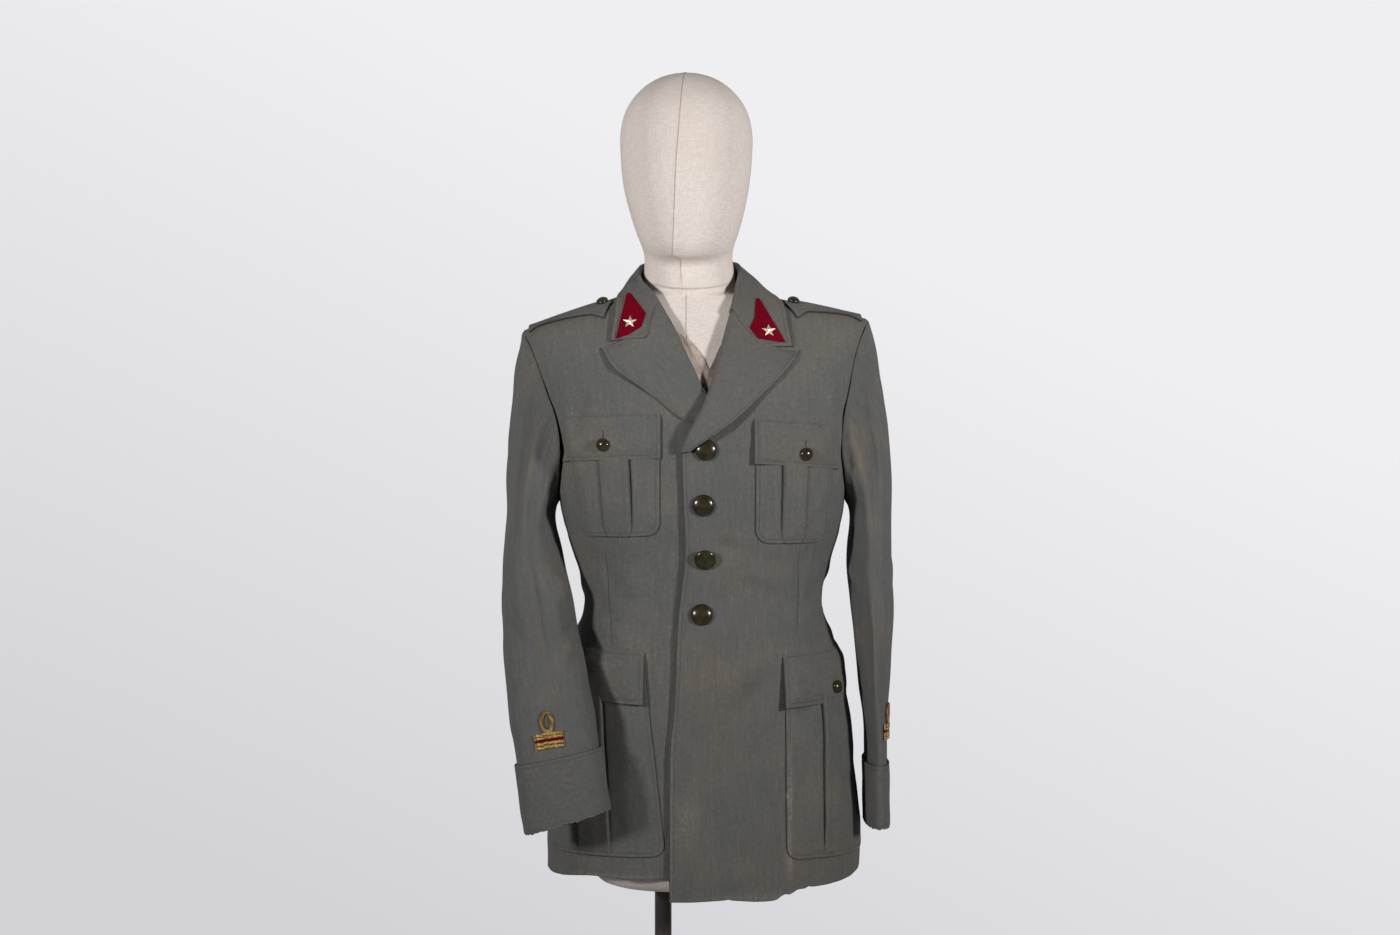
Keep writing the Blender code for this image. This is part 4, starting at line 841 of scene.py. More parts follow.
def shell(name, outer, thick, materials, cloth, seam=None, wear=None, outward=None, closed=False):
    """A cloth wall under a grid of outside points, with rounded free edges and a lining inside.

    cloth holds each point's place across and along the cut and its distance to a stitched edge.
    """
    rows, columns = outer.shape[:2]
    if outward is None:
        outward = from_axis(outer)
    inner = outer - facing(grid_normals(outer, closed), outward) * thick
    count = rows * columns
    points = [outer.reshape(-1, 3), inner.reshape(-1, 3)]
    faces = [grid_faces(rows, columns, closed), grid_faces(rows, columns, closed)[:, ::-1] + count]
    slots = [np.zeros(len(faces[0])), np.full(len(faces[1]), len(materials) - 1)]
    picked = [np.arange(count), np.arange(count)]
    start = 2 * count
    for loop, inside in rim_loops(rows, columns, closed):
        flat = points[0]
        edge_out = unit(flat[loop] - flat[inside] + 1e-9)
        points.append((flat[loop] + points[1][loop]) / 2 + edge_out * thick * RIM_BULGE)
        picked.append(loop)
        own = start + np.arange(len(loop))
        ahead = np.roll(own, -1)
        next_loop = np.roll(loop, -1)
        faces += [stacked(next_loop, loop, own, ahead),
                  stacked(ahead, own, loop + count, next_loop + count)]
        slots += [np.zeros(len(loop)), np.zeros(len(loop))]
        start += len(loop)
    picked = np.concatenate(picked)
    attributes = {}
    for key, values in (("cloth", cloth), ("seam", seam), ("wear", wear)):
        if values is None:
            values = np.zeros((rows, columns, 3))
            if key == "seam":
                values[..., :2] = FAR
        attributes[key] = np.broadcast_to(values, (rows, columns, 3)).reshape(-1, 3)[picked]
    return add_mesh(name, np.concatenate(points), np.concatenate(faces), materials,
                    np.concatenate(slots), attributes)


def refine(grid, rows, columns, closed=False):
    """A finer grid on smooth curves through a coarse one. Rows and columns are even if given as
    numbers, and otherwise shares of the length."""
    grid = run_curves(grid, rows, False)
    return run_curves(grid.swapaxes(0, 1), columns, closed).swapaxes(0, 1)


def run_curves(points, at, closed):
    """Resamples smooth curves that run along the first axis."""
    if closed:
        points = np.concatenate([points[-2:], points, points[:3]])
    gap = np.linalg.norm(np.diff(points, axis=0), axis=-1).mean(axis=1)
    knots = np.concatenate([[0.0], np.cumsum(gap)])
    gap = gap[:, None, None]
    rise = np.diff(points, axis=0) / gap
    slopes = np.concatenate([rise[:1], (rise[:-1] * gap[1:] + rise[1:] * gap[:-1])
                             / (gap[:-1] + gap[1:]), rise[-1:]])
    low, high = (knots[2], knots[-3]) if closed else (knots[0], knots[-1])
    shares = np.linspace(0.0, 1.0, at, endpoint=not closed) if np.isscalar(at) else np.asarray(at)
    wanted = low + shares * (high - low)
    k = np.clip(np.searchsorted(knots, wanted, side="right") - 1, 0, len(knots) - 2)
    u = ((wanted - knots[k]) / gap[k, 0, 0])[:, None, None]
    return hermite(u, gap[k], points[k], points[k + 1], slopes[k], slopes[k + 1])


EDGE_STATIONS = (0.0, 0.0003, 0.0008, 0.0016, 0.0028, 0.0038, 0.0045, 0.0050, 0.0056, 0.0064, 0.0078)


def stations(length, step, start=True, end=True):
    """Shares along a length, closer together at its ends."""
    head = [at for at in EDGE_STATIONS if at < length * 0.35] if start else [0.0]
    tail = [length - at for at in EDGE_STATIONS[::-1] if at < length * 0.35] if end else [length]
    inner = tail[0] - head[-1]
    middle = np.linspace(head[-1], tail[0], max(int(round(inner / step)), 1) + 1)[1:-1]
    return np.concatenate([head, middle, tail]) / length


def border(distance):
    """The height of cloth near a turned and stitched edge."""
    fall = -0.0008 * fade(0.0, 0.0013, distance) ** 2
    return fall - 0.00022 * bell(distance - 0.0050, 0.0010)


def seam_dip(distance):
    """The height of cloth near a seam, where both sides roll down into it."""
    return -0.0010 * fade(0.0, 0.0045, distance) ** 1.5


def grid_lengths(grid):
    """How far each point is from its row's start and from its column's foot, along the cloth."""
    across = np.linalg.norm(np.diff(grid, axis=1), axis=-1)
    along = np.linalg.norm(np.diff(grid, axis=0), axis=-1)
    across = np.pad(np.cumsum(across, axis=1), ((0, 0), (1, 0)))
    along = np.pad(np.cumsum(along, axis=0), ((1, 0), (0, 0)))
    return across, along


# The tunic
def armhole_offsets():
    """How far the armhole's edges lie from the side, by height, in front and behind."""
    rows = []
    for z in ARMHOLE_LEVELS:
        ahead = side_girth(z) - girth_of_x(ARMHOLE("front_x", z), z)
        behind = girth_of_x(ARMHOLE("back_x", z), z, 1) - side_girth(z)
        inner = UNDERARM_Z < z < SHOULDER_Z
        rows.append((z, float(ahead) if inner else 0.0, float(behind) if inner else 0.0))
    return Table("z ahead behind", *rows)


ARMHOLE_OFFSET = armhole_offsets()


def armhole_offset(name, z):
    return np.where((z > UNDERARM_Z) & (z < SHOULDER_Z), ARMHOLE_OFFSET(name, z), 0.0)


def front_ends(side, table):
    """The girths of a front's free edge and of its side, by height."""
    def ends(z):
        edge = unlean(table("x", z), z)[0]
        reach = side_girth(z) - armhole_offset("ahead", z) - SEAM_GAP / 2
        return girth_of_x(edge, z), side * reach
    return ends


def back_ends(side):
    """The girths of a back's side and of its centre seam, by height."""
    def ends(z):
        start = side_girth(z) + armhole_offset("behind", z)
        reach = np.interp(z, LEVEL_ROWS, GIRTH_ENDS[1])
        return side * (start + SEAM_GAP / 2), side * (reach - SEAM_GAP / 2)
    return ends


def dressed(made, node):
    """Hides the solid a piece stands for and hangs the piece on the root body."""
    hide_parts(node)
    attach(made, "root")


def sewn(made, node):
    """Handles a cloth piece as dressed does."""
    dressed(made, node)


# Both ends of each front's waist dart, by x on the figure and height
DARTS = {
    "front_left": ((0.1160, 0.8380), (0.1130, 0.7200)),
    "front_right": ((-0.1200, 0.8400), (-0.1090, 0.7180)),
}


def dart_seam(name, x, z):
    """Distance to the waist dart and how strongly it shows."""
    if name not in DARTS:
        return None
    (x0, z0), (x1, z1) = DARTS[name]
    share = np.clip((z - z0) / (z1 - z0), -0.5, 1.5)
    shown = 0.5 * smooth(z1 - 0.004, z1 + 0.030, z) * fade(z0 - 0.030, z0 + 0.004, z)
    return stacked(x - mix(x0, x1, share), FAR, shown)


PANEL_WIDTH = 0.21
PANEL_HEIGHT = 0.72
HEM_ROLL = 0.7
SIDE_SEAM_DEPTH = 1.7
DART_DEPTH = 0.0016
DART_WIDTH = 0.0030


def body_panel(node, ends, hem):
    """One of the tunic's four body pieces, between its two long edges and above its hem."""
    shares = stations(PANEL_WIDTH, 0.0034)[None, :]
    levels = HEM_START + stations(PANEL_HEIGHT, 0.0037, True, False)[:, None] * PANEL_HEIGHT
    x = upright_skin(mix(*ends(levels), shares), levels)[..., 0]
    height = levels + (hem("z", x) - HEM_START) * fade(HEM_START, 0.60, levels)
    height = height + hem_wear(node, x) * fade(HEM_START, HEM_START + 0.012, levels)
    start, stop = ends(height)
    girth = mix(start, stop, shares)
    x = upright_skin(girth, height)[..., 0]
    from_start = np.abs(girth - start)
    out = border(height - height[:1]) * HEM_ROLL + seam_dip(np.abs(girth - stop)) * SIDE_SEAM_DEPTH
    edge = FAR
    if node == "front_left":
        out = out + border(from_start) * fade(0.935, 0.955, height)
        edge = np.where(height < 0.95, from_start, FAR)
    elif node == "front_right":
        out = out - tuck(x, height)
    else:
        out = out + seam_dip(from_start)
    seam = dart_seam(node, x + SWAY("x", height), height)
    if seam is not None:
        out = out - DART_DEPTH * seam[..., 2] * bell(seam[..., 0], DART_WIDTH)
    outer = skin(girth, height, out)
    made = shell(node + "_cloth", outer, CLOTH, [CLOTH_MATERIAL, LINING],
                 stacked(girth, height, edge), seam, wear_at(outer))
    sewn(made, node)


# Frayed places in the hem: middle on the upright body, half width and height
HEM_BITES = {
    "front_left": ((0.0960, 0.0050, 0.0035), (0.1130, 0.0060, 0.0025), (0.1270, 0.0030, 0.0020),
                   (0.0300, 0.0040, 0.0012)),
    "front_right": ((-0.1100, 0.0060, 0.0014),),
}


def hem_wear(node, x):
    """Where the hem's edge is bitten away or uneven."""
    total = 0.0008 * waves(x, 0.0, 0.060, 11)
    for middle, half, high in HEM_BITES.get(node, ()):
        total = total + high * bell(x - middle, half)
    return total


# Places where the nap is rubbed pale, as seen from the front: x, height, half sizes and strength
WORN_PLACES = (
    (0.1035, 0.5300, 0.0022, 0.0650, 0.95), (0.1015, 0.4650, 0.0025, 0.0200, 0.90),
    (-0.0180, 0.5150, 0.0160, 0.0250, 0.40), (0.1010, 0.5400, 0.0040, 0.0040, 0.95),
    (0.0700, 0.4210, 0.0600, 0.0040, 0.45), (0.1160, 0.7120, 0.0500, 0.0030, 0.10),
    (-0.1100, 0.4450, 0.0600, 0.0025, 0.35), (-0.0380, 0.6000, 0.0020, 0.1500, 0.35),
)


# Places where the dye has gone brown, in the same terms
BROWN_PLACES = (
    (0.0150, 0.6500, 0.0450, 0.0700, 0.80), (0.1350, 0.4600, 0.0650, 0.0350, 1.00),
    (0.1100, 0.9550, 0.0550, 0.0320, 0.80), (0.1500, 0.6800, 0.0700, 0.0350, 0.40),
    (-0.1150, 0.9300, 0.0400, 0.0500, 0.30), (-0.1400, 0.4550, 0.0600, 0.0200, 0.60),
    (0.0450, 0.7900, 0.0400, 0.0400, 0.40), (0.1500, 1.1100, 0.0700, 0.0250, 0.80),
    (-0.1500, 1.1050, 0.0700, 0.0250, 0.80), (0.0600, 1.1100, 0.0350, 0.0400, 0.70),
    (0.0500, 1.0200, 0.0400, 0.0400, 0.40), (0.1350, 0.5200, 0.0500, 0.0500, 0.50),
)


def spots(places, x, z):
    """Soft oval spots, added up to one at most."""
    total = 0.0
    for middle, height, half, high, strength in places:
        total = total + strength * np.exp(-((x - middle) / half) ** 2 - ((z - height) / high) ** 2)
    return np.clip(total, 0.0, 1.0)


def wear_at(points):
    """How rubbed and how brown the cloth is at places of the front."""
    wear = np.zeros(points.shape)
    x = points[..., 0] - AXIS_X
    ahead = fade(-0.03, 0.0, points[..., 1])
    wear[..., 0] = spots(WORN_PLACES, x, points[..., 2]) * ahead
    wear[..., 1] = spots(BROWN_PLACES, x, points[..., 2]) * smooth(-0.01, -0.04, points[..., 1])
    return wear


LAPEL_LEFT = Table(
    "part roll_x  roll_z  mid_x   mid_z   edge_x  edge_z  lift",
    (0.00, -0.0250, 0.9500, -0.0200, 0.9505, -0.0140, 0.9515, 0.0060),
    (0.09, -0.0190, 0.9640, -0.0080, 0.9620, 0.0050, 0.9645, 0.0100),
    (0.20, -0.0100, 0.9830, 0.0060, 0.9780, 0.0270, 0.9790, 0.0102),
    (0.45, 0.0040, 1.0110, 0.0340, 1.0100, 0.0680, 1.0160, 0.0075),
    (0.72, 0.0170, 1.0520, 0.0530, 1.0440, 0.1000, 1.0490, 0.0036),
    (0.88, 0.0255, 1.0860, 0.0620, 1.0620, 0.1110, 1.0640, 0.0030),
    (1.00, 0.0370, 1.1300, 0.0740, 1.0835, 0.1160, 1.0728, 0.0026),
)
LAPEL_RIGHT = Table(
    "part roll_x  roll_z  mid_x   mid_z   edge_x  edge_z  lift",
    (0.00, 0.0080, 1.0060, 0.0030, 0.9930, -0.0020, 0.9810, 0.0024),
    (0.22, -0.0020, 1.0300, -0.0180, 1.0060, -0.0250, 0.9900, 0.0026),
    (0.50, -0.0160, 1.0600, -0.0420, 1.0330, -0.0610, 1.0180, 0.0036),
    (0.78, -0.0300, 1.0870, -0.0600, 1.0620, -0.1080, 1.0510, 0.0032),
    (0.90, -0.0400, 1.1060, -0.0660, 1.0760, -0.1170, 1.0640, 0.0030),
    (1.00, -0.0605, 1.1430, -0.0800, 1.0985, -0.1230, 1.0755, 0.0026),
)
ROLL_LIFT = 0.0030
ROLL_PROFILE = Table("share rise", (0.0, 0.4), (0.06, 1.0), (0.28, 0.5), (0.50, 0.2), (0.75, 0.05),
                     (1.0, 0.0))


LAPEL_LENGTH = 0.215
LAPEL_WIDTH = 0.100
CURL_COLUMNS = 8


def lapel(node, table):
    """A lapel folded back over its front, with the roll carried round into the opening."""
    parts = stations(LAPEL_LENGTH, 0.0024)[:, None]
    shares = stations(LAPEL_WIDTH, 0.0022, False, True)[None, :]
    places = []
    for axis in ("x", "z"):
        roll, mid, edge = (table(f"{key}_{axis}", parts) for key in ("roll", "mid", "edge"))
        places.append(roll * (1 - shares) * (1 - 2 * shares) + mid * 4 * shares * (1 - shares)
                      + edge * shares * (2 * shares - 1))
    x, z = places
    rise = ROLL_LIFT * ROLL_PROFILE("rise", shares) * smooth(0.05, 0.35, parts)
    width = np.hypot(x[:, -1:] - x[:, :1], z[:, -1:] - z[:, :1])
    edge = np.minimum((1.0 - shares) * width, (1.0 - parts) * LAPEL_LENGTH)
    edge = np.minimum(edge, parts * LAPEL_LENGTH + 0.002)
    lift = table("lift", parts) + rise - set_back_of(node, x, z)
    flare = 0.0016 * smooth(0.75, 1.0, shares) * np.sin(parts * 9.0 + 0.6)
    outer = front_place(x, z, lift + border(edge) + flare)
    away = unit(stacked(x[:, 0] - x[:, 12], z[:, 0] - z[:, 12]))
    turns = np.linspace(0.25 * math.pi, math.pi, CURL_COLUMNS, endpoint=False)
    radius = (lift[:, :1] + 0.0030) / 2
    middle = lift[:, :1] - radius
    bow = np.minimum(radius, 0.0026) * np.sin(turns)
    curl = front_place(x[:, :1] + away[:, :1] * bow, z[:, :1] + away[:, 1:] * bow,
                       middle - radius * np.cos(turns))
    outer = np.concatenate([curl, outer], axis=1)
    across = grid_lengths(outer)[0]
    edge = np.concatenate([np.full((len(parts), CURL_COLUMNS), FAR), edge], axis=1)
    made = shell(node + "_cloth", outer, LAPEL_CLOTH, [CLOTH_MATERIAL],
                 stacked(x[:, :1] * 0.7 + across, z[:, :1], edge), wear=wear_at(outer))
    sewn(made, node)


def lining_strip(name, table, inward, item):
    """The strip of lining that shows inside the opening, between a lapel's roll and the form. The left
    strip is a facing coloured dark brown as painted shade, widened at its foot to fill the opening's
    shaded bottom.
    """
    left = name.endswith("left")
    first, last = (0.0, 0.88) if left else (0.25, 0.86)
    parts = np.linspace(first, last, 60)[:, None]
    shares = np.linspace(0.0, 1.0, 14)[None, :]
    side = -1.0 if left else 1.0
    share = (parts - first) / (last - first)
    width = inward * np.sin(math.pi * np.clip(0.12 + 0.88 * share, 0.0, 1.0)) ** 0.6
    # On the left strip a widened foot carries the painted shade down into the bottom of the opening.
    width = width + 0.0110 * fade(0.0, 0.30, parts) * left
    foot = fade(0.0, 0.16, parts) * left
    x = table("roll_x", parts) + side * (mix(-0.007, width, shares) - 0.004 * foot)
    z = table("roll_z", parts) + 0.0030 * shares * smooth(0.0, 0.2, parts) - 0.016 * foot
    low = mix(-0.0105, -0.0060, smooth(1.055, 1.105, z))
    depth = mix(-0.0015, low, smooth(0.0, 0.7, shares)) + 0.0005 * waves(x, z, 0.03, 71)
    outer = front_place(x, z, depth, False)
    made = shell(name, outer, LINING_CLOTH, [item], stacked(*grid_lengths(outer), FAR))
    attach(made, "root")


COLLAR_NAMES = ("part roll_x  roll_y   roll_z  edge_x  edge_y   foot_z  roll_seen_x roll_seen_z "
                "mid_seen_x mid_seen_z edge_seen_x edge_seen_z")
COLLAR_LEFT = Table(
    COLLAR_NAMES,
    (0.00, 0.0000, 0.0690, 1.1950, 0.0000, 0.0760, 1.1530, 0.046, 1.160, 0.070, 1.140, 0.092, 1.138),
    (0.20, 0.0400, 0.0560, 1.1945, 0.0480, 0.0640, 1.1530, 0.046, 1.160, 0.070, 1.140, 0.092, 1.138),
    (0.40, 0.0610, 0.0200, 1.1890, 0.0840, 0.0250, 1.1530, 0.046, 1.160, 0.070, 1.140, 0.092, 1.138),
    (0.55, 0.0640, -0.012, 1.1770, 0.0950, -0.014, 1.1530, 0.046, 1.160, 0.070, 1.140, 0.092, 1.138),
    (0.75, 0.0590, -0.045, 1.1560, 0.1050, -0.042, 1.1450, 0.043, 1.148, 0.067, 1.125, 0.097, 1.128),
    (0.90, 0.0530, -0.066, 1.1360, 0.1140, -0.060, 1.1300, 0.038, 1.132, 0.0655, 1.096, 0.102, 1.104),
    (1.00, 0.0465, -0.076, 1.1210, 0.1165, -0.070, 1.1160, 0.0345, 1.1215, 0.0650, 1.0755, 0.107,
     1.0770),
)
COLLAR_RIGHT = Table(
    COLLAR_NAMES,
    (0.00, 0.0000, 0.0690, 1.1950, 0.0000, 0.0760, 1.1530, -0.066, 1.160, -0.078, 1.150, -0.094, 1.145),
    (0.20, 0.0400, 0.0560, 1.1940, 0.0480, 0.0640, 1.1530, -0.066, 1.160, -0.078, 1.150, -0.094, 1.145),
    (0.40, 0.0610, 0.0200, 1.1860, 0.0780, 0.0250, 1.1530, -0.066, 1.160, -0.078, 1.150, -0.094, 1.145),
    (0.55, 0.0630, -0.012, 1.1740, 0.0830, -0.014, 1.1530, -0.066, 1.160, -0.078, 1.150, -0.094, 1.145),
    (0.75, 0.0590, -0.043, 1.1600, 0.0900, -0.042, 1.1500, -0.063, 1.152, -0.078, 1.138, -0.100, 1.137),
    (0.90, 0.0530, -0.057, 1.1460, 0.0980, -0.058, 1.1400, -0.060, 1.140, -0.074, 1.112, -0.107, 1.114),
    (1.00, 0.0490, -0.066, 1.1350, 0.1020, -0.066, 1.1300, -0.055, 1.129, -0.0685, 1.0885, -0.112,
     1.0835),
)
COLLAR_LENGTH = 0.62
COLLAR_WIDTH = 0.105
FOLD_RADIUS = 0.0022
ROLL_OUT = 0.0060
EDGE_OUT = 0.0030
FALL_OUT = 0.0037
STAND_DROP = 0.0050


def clear_of_front(point):
    """Brings a point of the fall forward where it would lie too near the chest."""
    if point[1] < -0.025 and point[2] < NECKLINE_Z - 0.002:
        surface = front_place(point[0] - AXIS_X, point[2], 0.0, False)
        normal = front_place(point[0] - AXIS_X, point[2], 0.002, False) - surface
        point = point.copy()
        point[1] = min(point[1], surface[1] - FALL_OUT / max(-normal[1] / 0.002, 0.35))
    return point


def collar_profile(table, part, side):
    """One station of the collar: up the stand, over the roll and down the fall."""
    front = float(smooth(0.72, 0.93, part))
    roll_x, roll_y, roll_z = table.point(part, "roll_x", "roll_y", "roll_z")
    seen = table.point(part, "roll_seen_x", "roll_seen_z")
    crest = mix(lean(np.array([side * roll_x, roll_y, roll_z])),
                front_place(*seen, ROLL_OUT, False), front)
    edge_x, edge_y = table.point(part, "edge_x", "edge_y")
    seen = table.point(part, "edge_seen_x", "edge_seen_z")
    edge = mix(top_place(side * edge_x, edge_y, EDGE_OUT), front_place(*seen, EDGE_OUT, False), front)
    edge = clear_of_front(edge)
    seen = table.point(part, "mid_seen_x", "mid_seen_z")
    outward = edge - crest
    outward[2] = 0.0
    outward /= np.linalg.norm(outward)
    middle = mix(mix(crest, edge, 0.5) + outward * 0.0030 + (0.0, 0.0, 0.0020),
                 front_place(*seen, EDGE_OUT + 0.0008, False), front)
    inside = crest - outward * FOLD_RADIUS - (0.0, 0.0, FOLD_RADIUS)
    outside = crest + outward * FOLD_RADIUS - (0.0, 0.0, FOLD_RADIUS)
    foot_z = float(table("foot_z", part))
    low = min(foot_z, NECKLINE_Z - 0.0001)
    foot = snap(side * roll_x, roll_y, low, -0.0010) + (0.0, 0.0, foot_z - low)
    foot = mix(foot, inside - (0.0, 0.0, STAND_DROP), float(smooth(0.55, 0.80, part)))
    upper_fall = clear_of_front(mix(outside, middle, 0.45) + outward * 0.0006)
    middle = clear_of_front(middle)
    lower_fall = clear_of_front(mix(middle, edge, 0.5))
    return [foot, mix(foot, inside, 0.55), inside, crest, outside, upper_fall, middle,
            lower_fall, edge]


def collar():
    """The collar, from its end on the wearer's right round the neck to its end on the left."""
    parts = np.linspace(0.0, 1.0, 12)
    rows = [collar_profile(COLLAR_RIGHT, part, -1) for part in parts[::-1]]
    rows += [collar_profile(COLLAR_LEFT, part, 1) for part in parts[1:]]
    middle = refine(np.array(rows), stations(COLLAR_LENGTH, 0.0034),
                    stations(COLLAR_WIDTH, 0.0019, False, True))
    across, along = grid_lengths(middle)
    from_end = np.minimum(along, along[-1:] - along)
    edge = np.minimum(across[:, -1:] - across, from_end)
    away = from_axis(middle)
    away[:, :-12] = 0.0
    normals = facing(grid_normals(middle), away)
    fall = smooth(0.035, 0.050, across)
    down = 0.0012 * fade(0.0, 0.014, from_end)
    outer = middle + normals * (CLOTH / 2 + (border(edge) - down) * fall)[..., None]
    made = shell("collar_cloth", outer, CLOTH, [CLOTH_MATERIAL],
                 stacked(along, across, np.where(fall > 0.5, edge, FAR)), wear=wear_at(outer),
                 outward=normals)
    sewn(made, "collar")
    return tree_of(made)


# Each pocket's edges, how far its two sides drift toward the foot, where across it the pleat's
# folds lie, whether it is laid out along the body's girth, how far each fold gapes and how wide the
# painted shade in it is, and its cut
POCKETS = {
    "chest_pocket_right": dict(left=-0.1660, right=-0.0520, top=0.9770, bottom=0.8490,
                               drift=(0.0160, 0.0), pleat=(0.34, 0.66), girth=False,
                               opened=(0.12, 1.0), flat=(0.146, 0.142)),
    "chest_pocket_left": dict(left=0.0620, right=0.1570, top=0.9690, bottom=0.8410,
                              drift=(0.0, -0.0060), pleat=(0.36, 0.66), girth=False,
                              opened=(1.0, 0.05), flat=(0.127, 0.140)),
    "hip_pocket_right": dict(left=-0.2200, right=-0.0710, top=0.6920, bottom=0.4680,
                             drift=(0.0, 0.0260), pleat=(0.38, 0.62), girth=True,
                             opened=(0.5, 0.4), flat=(0.195, 0.238)),
    "hip_pocket_left": dict(left=0.0990, right=0.2460, top=0.6920, bottom=0.4640,
                            drift=(0.0, 0.0), pleat=(0.35, 0.62), girth=True, opened=(1.7, 0.2),
                            flat=(0.190, 0.240)),
}
POCKET_CORNER = 0.0170
POCKET_OUT = 0.0020
PLEAT_RISE = 0.0013


def pocket(node, left, right, top, bottom, drift, pleat, girth, opened, flat):
    """A patch pocket with rounded lower corners and a box pleat down its middle."""
    near, far = pleat
    width = right - left
    lines = (near * width, far * width)
    extra = [line + step for line in lines for step in np.arange(-0.0045, 0.0046, 0.0009)]
    even = stations(width, 0.0026) * width
    keep = [at for at in even if min(abs(at - line) for line in lines) > 0.0050]
    shares = np.array(sorted(keep + extra))[None, :] / width
    z = top - stations(top - bottom, 0.0030)[:, None] * (top - bottom)
    over = POCKET_CORNER - np.minimum(z - bottom, POCKET_CORNER)
    inset = POCKET_CORNER - np.sqrt(np.maximum(POCKET_CORNER ** 2 - over ** 2, 0.0))
    down = (top - z) / (top - bottom)
    low = left + inset + drift[0] * down
    high = right - inset + drift[1] * down
    across = mix(low, high, shares)
    from_side = np.minimum(across - low, high - across) + inset
    aside = POCKET_CORNER - np.minimum(from_side, POCKET_CORNER)
    edge = np.where((aside > 0) & (over > 0), POCKET_CORNER - np.hypot(aside, over),
                    np.minimum(from_side, z - bottom))
    edge = np.maximum(edge, 0.0)
    at = shares * width
    band = smooth(lines[0] - 0.0010, lines[0] + 0.0008, at)
    band = band * fade(lines[1] - 0.0008, lines[1] + 0.0010, at)
    rise = POCKET_OUT + band * PLEAT_RISE * (1.0 - smooth(0.80, 1.0, down) * 0.6)
    lens = np.sin(np.pi * np.clip(down * 1.04, 0.03, 1.0)) ** 0.6
    pleat_shade_lines = []
    for line, side, wide in zip(lines, (-1, 1), opened):
        swell = min(wide, 1.2)
        fold = np.exp(-((at - line) * side / 0.0016 - 1.0) ** 2)
        rise = rise - (0.0004 + 0.0022 * swell * np.sin(np.pi * np.clip(down, 0.05, 0.95))) * fold
        roll = np.exp(-(((at - line) * side + 0.0035) / 0.0032) ** 2)
        rise = rise + 0.0012 * swell * np.sin(np.pi * down) * roll
        # Each fold also gets a dark line, widened as it gapes: painted shade in the gap.
        pleat_shade_lines.append((at - line - side * 0.0012) / (0.12 + 1.6 * wide * lens))
    rise = rise + border(edge) - set_back_of(node, across, z)
    outer = (skin if girth else front_place)(across, z, rise)
    made = shell(node + "_cloth", outer, POCKET_CLOTH, [CLOTH_MATERIAL], stacked(across, z, edge),
                 stacked(*pleat_shade_lines, 0.9), wear_at(outer))
    sewn(made, node)


# Each flap's ends, its upper and lower edge at both ends, how far it draws in at one end, its
# buttonhole, and on which side and how high it stands off
FLAPS = {
    "chest_flap_right": dict(left=-0.1680, right=-0.0510, top=(0.9950, 0.9970),
                             bottom=(0.9390, 0.9420), girth=False, lean_in=0.003, hole=(-0.1180, 0.9690),
                             gape=(1, 0.0004)),
    "chest_flap_left": dict(left=0.0600, right=0.1585, top=(0.9900, 0.9850),
                            bottom=(0.9360, 0.9300), girth=False, lean_in=-0.003, hole=(0.1210, 0.9580),
                            gape=(-1, 0.0032)),
    "hip_flap_right": dict(left=-0.2260, right=-0.0710, top=(0.7150, 0.7110),
                           bottom=(0.6540, 0.6480), girth=True, lean_in=0.009, hole=(-0.1740, 0.6760),
                           gape=(1, 0.0060)),
    "hip_flap_left": dict(left=0.0960, right=0.2560, top=(0.7070, 0.7170),
                          bottom=(0.6430, 0.6540), girth=True, lean_in=-0.014, hole=(0.1780, 0.6750),
                          gape=(-1, 0.0064)),
}
FLAP_LENGTH = 0.058
FLAP_OUT = POCKET_OUT + PLEAT_RISE + 0.0018


def flap(node, left, right, top, bottom, girth, lean_in, hole, gape, flat):
    """A pocket flap: sewn down along its top, and lying over the pleat below."""
    width = right - left
    near_hole = (hole[0] + np.arange(-0.0024, 0.0025, 0.0006) - left) / width
    shares = np.sort(np.append(stations(width, 0.0026), near_hole))[None, :]
    down = stations(FLAP_LENGTH, 0.0024)[:, None]
    spread = lean_in * down
    across = mix(left - np.maximum(spread, 0.0), right - np.minimum(spread, 0.0), shares)
    z = mix(mix(*top, shares), mix(*bottom, shares), down)
    edge = np.minimum(np.minimum(shares, 1.0 - shares) * width, (1.0 - down) * FLAP_LENGTH)
    rise = mix(0.0019, FLAP_OUT, smooth(0.0, 0.28, down)) + border(edge)
    rise = rise - 0.0012 * fade(0.0, 0.0040, down * FLAP_LENGTH)
    corner = smooth(0.7, 1.0, down) * smooth(0.36, 0.5, np.abs(shares - 0.5))
    rise = rise + 0.0008 * corner + 0.0004 * waves(across, z, 0.05, 21)
    rise = rise - 0.0024 * fade(0.0, 0.0150, edge) * smooth(0.1, 0.4, down)
    side, high = gape
    rise = rise + high * smooth(0.22, 0.5, side * (shares - 0.5)) * smooth(0.02, 0.85, down)
    rise = rise - set_back_of(node, across, z)
    slit = 1.1 * np.hypot(across - hole[0], np.maximum(np.abs(z - hole[1]) - 0.0060, 0.0))
    outer = (skin if girth else front_place)(across, z, rise)
    cloth = stacked(across, z, np.minimum(edge, down * FLAP_LENGTH + 0.002))
    made = shell(node + "_cloth", outer, POCKET_CLOTH, [CLOTH_MATERIAL], cloth,
                 stacked(slit, FAR, 1.0), wear_at(outer))
    sewn(made, node)


def frame_at(ahead):
    """The directions across, up and ahead of something that faces ahead."""
    ahead = ahead / np.linalg.norm(ahead)
    across = np.cross(ahead, (0.0, 0.0, 1.0))
    across /= np.linalg.norm(across)
    return across, np.cross(across, ahead), ahead


BUTTON_PROFILE = ((0.0, 0.03), (0.60, 0.03), (0.93, 0.05), (0.985, 0.13), (1.00, 0.24), (0.985, 0.36),
                  (0.95, 0.47), (0.90, 0.55), (0.80, 0.67), (0.66, 0.79), (0.48, 0.90), (0.28, 0.97),
                  (0.10, 0.995), (0.0, 1.0))


BUTTON_SIDES = 48


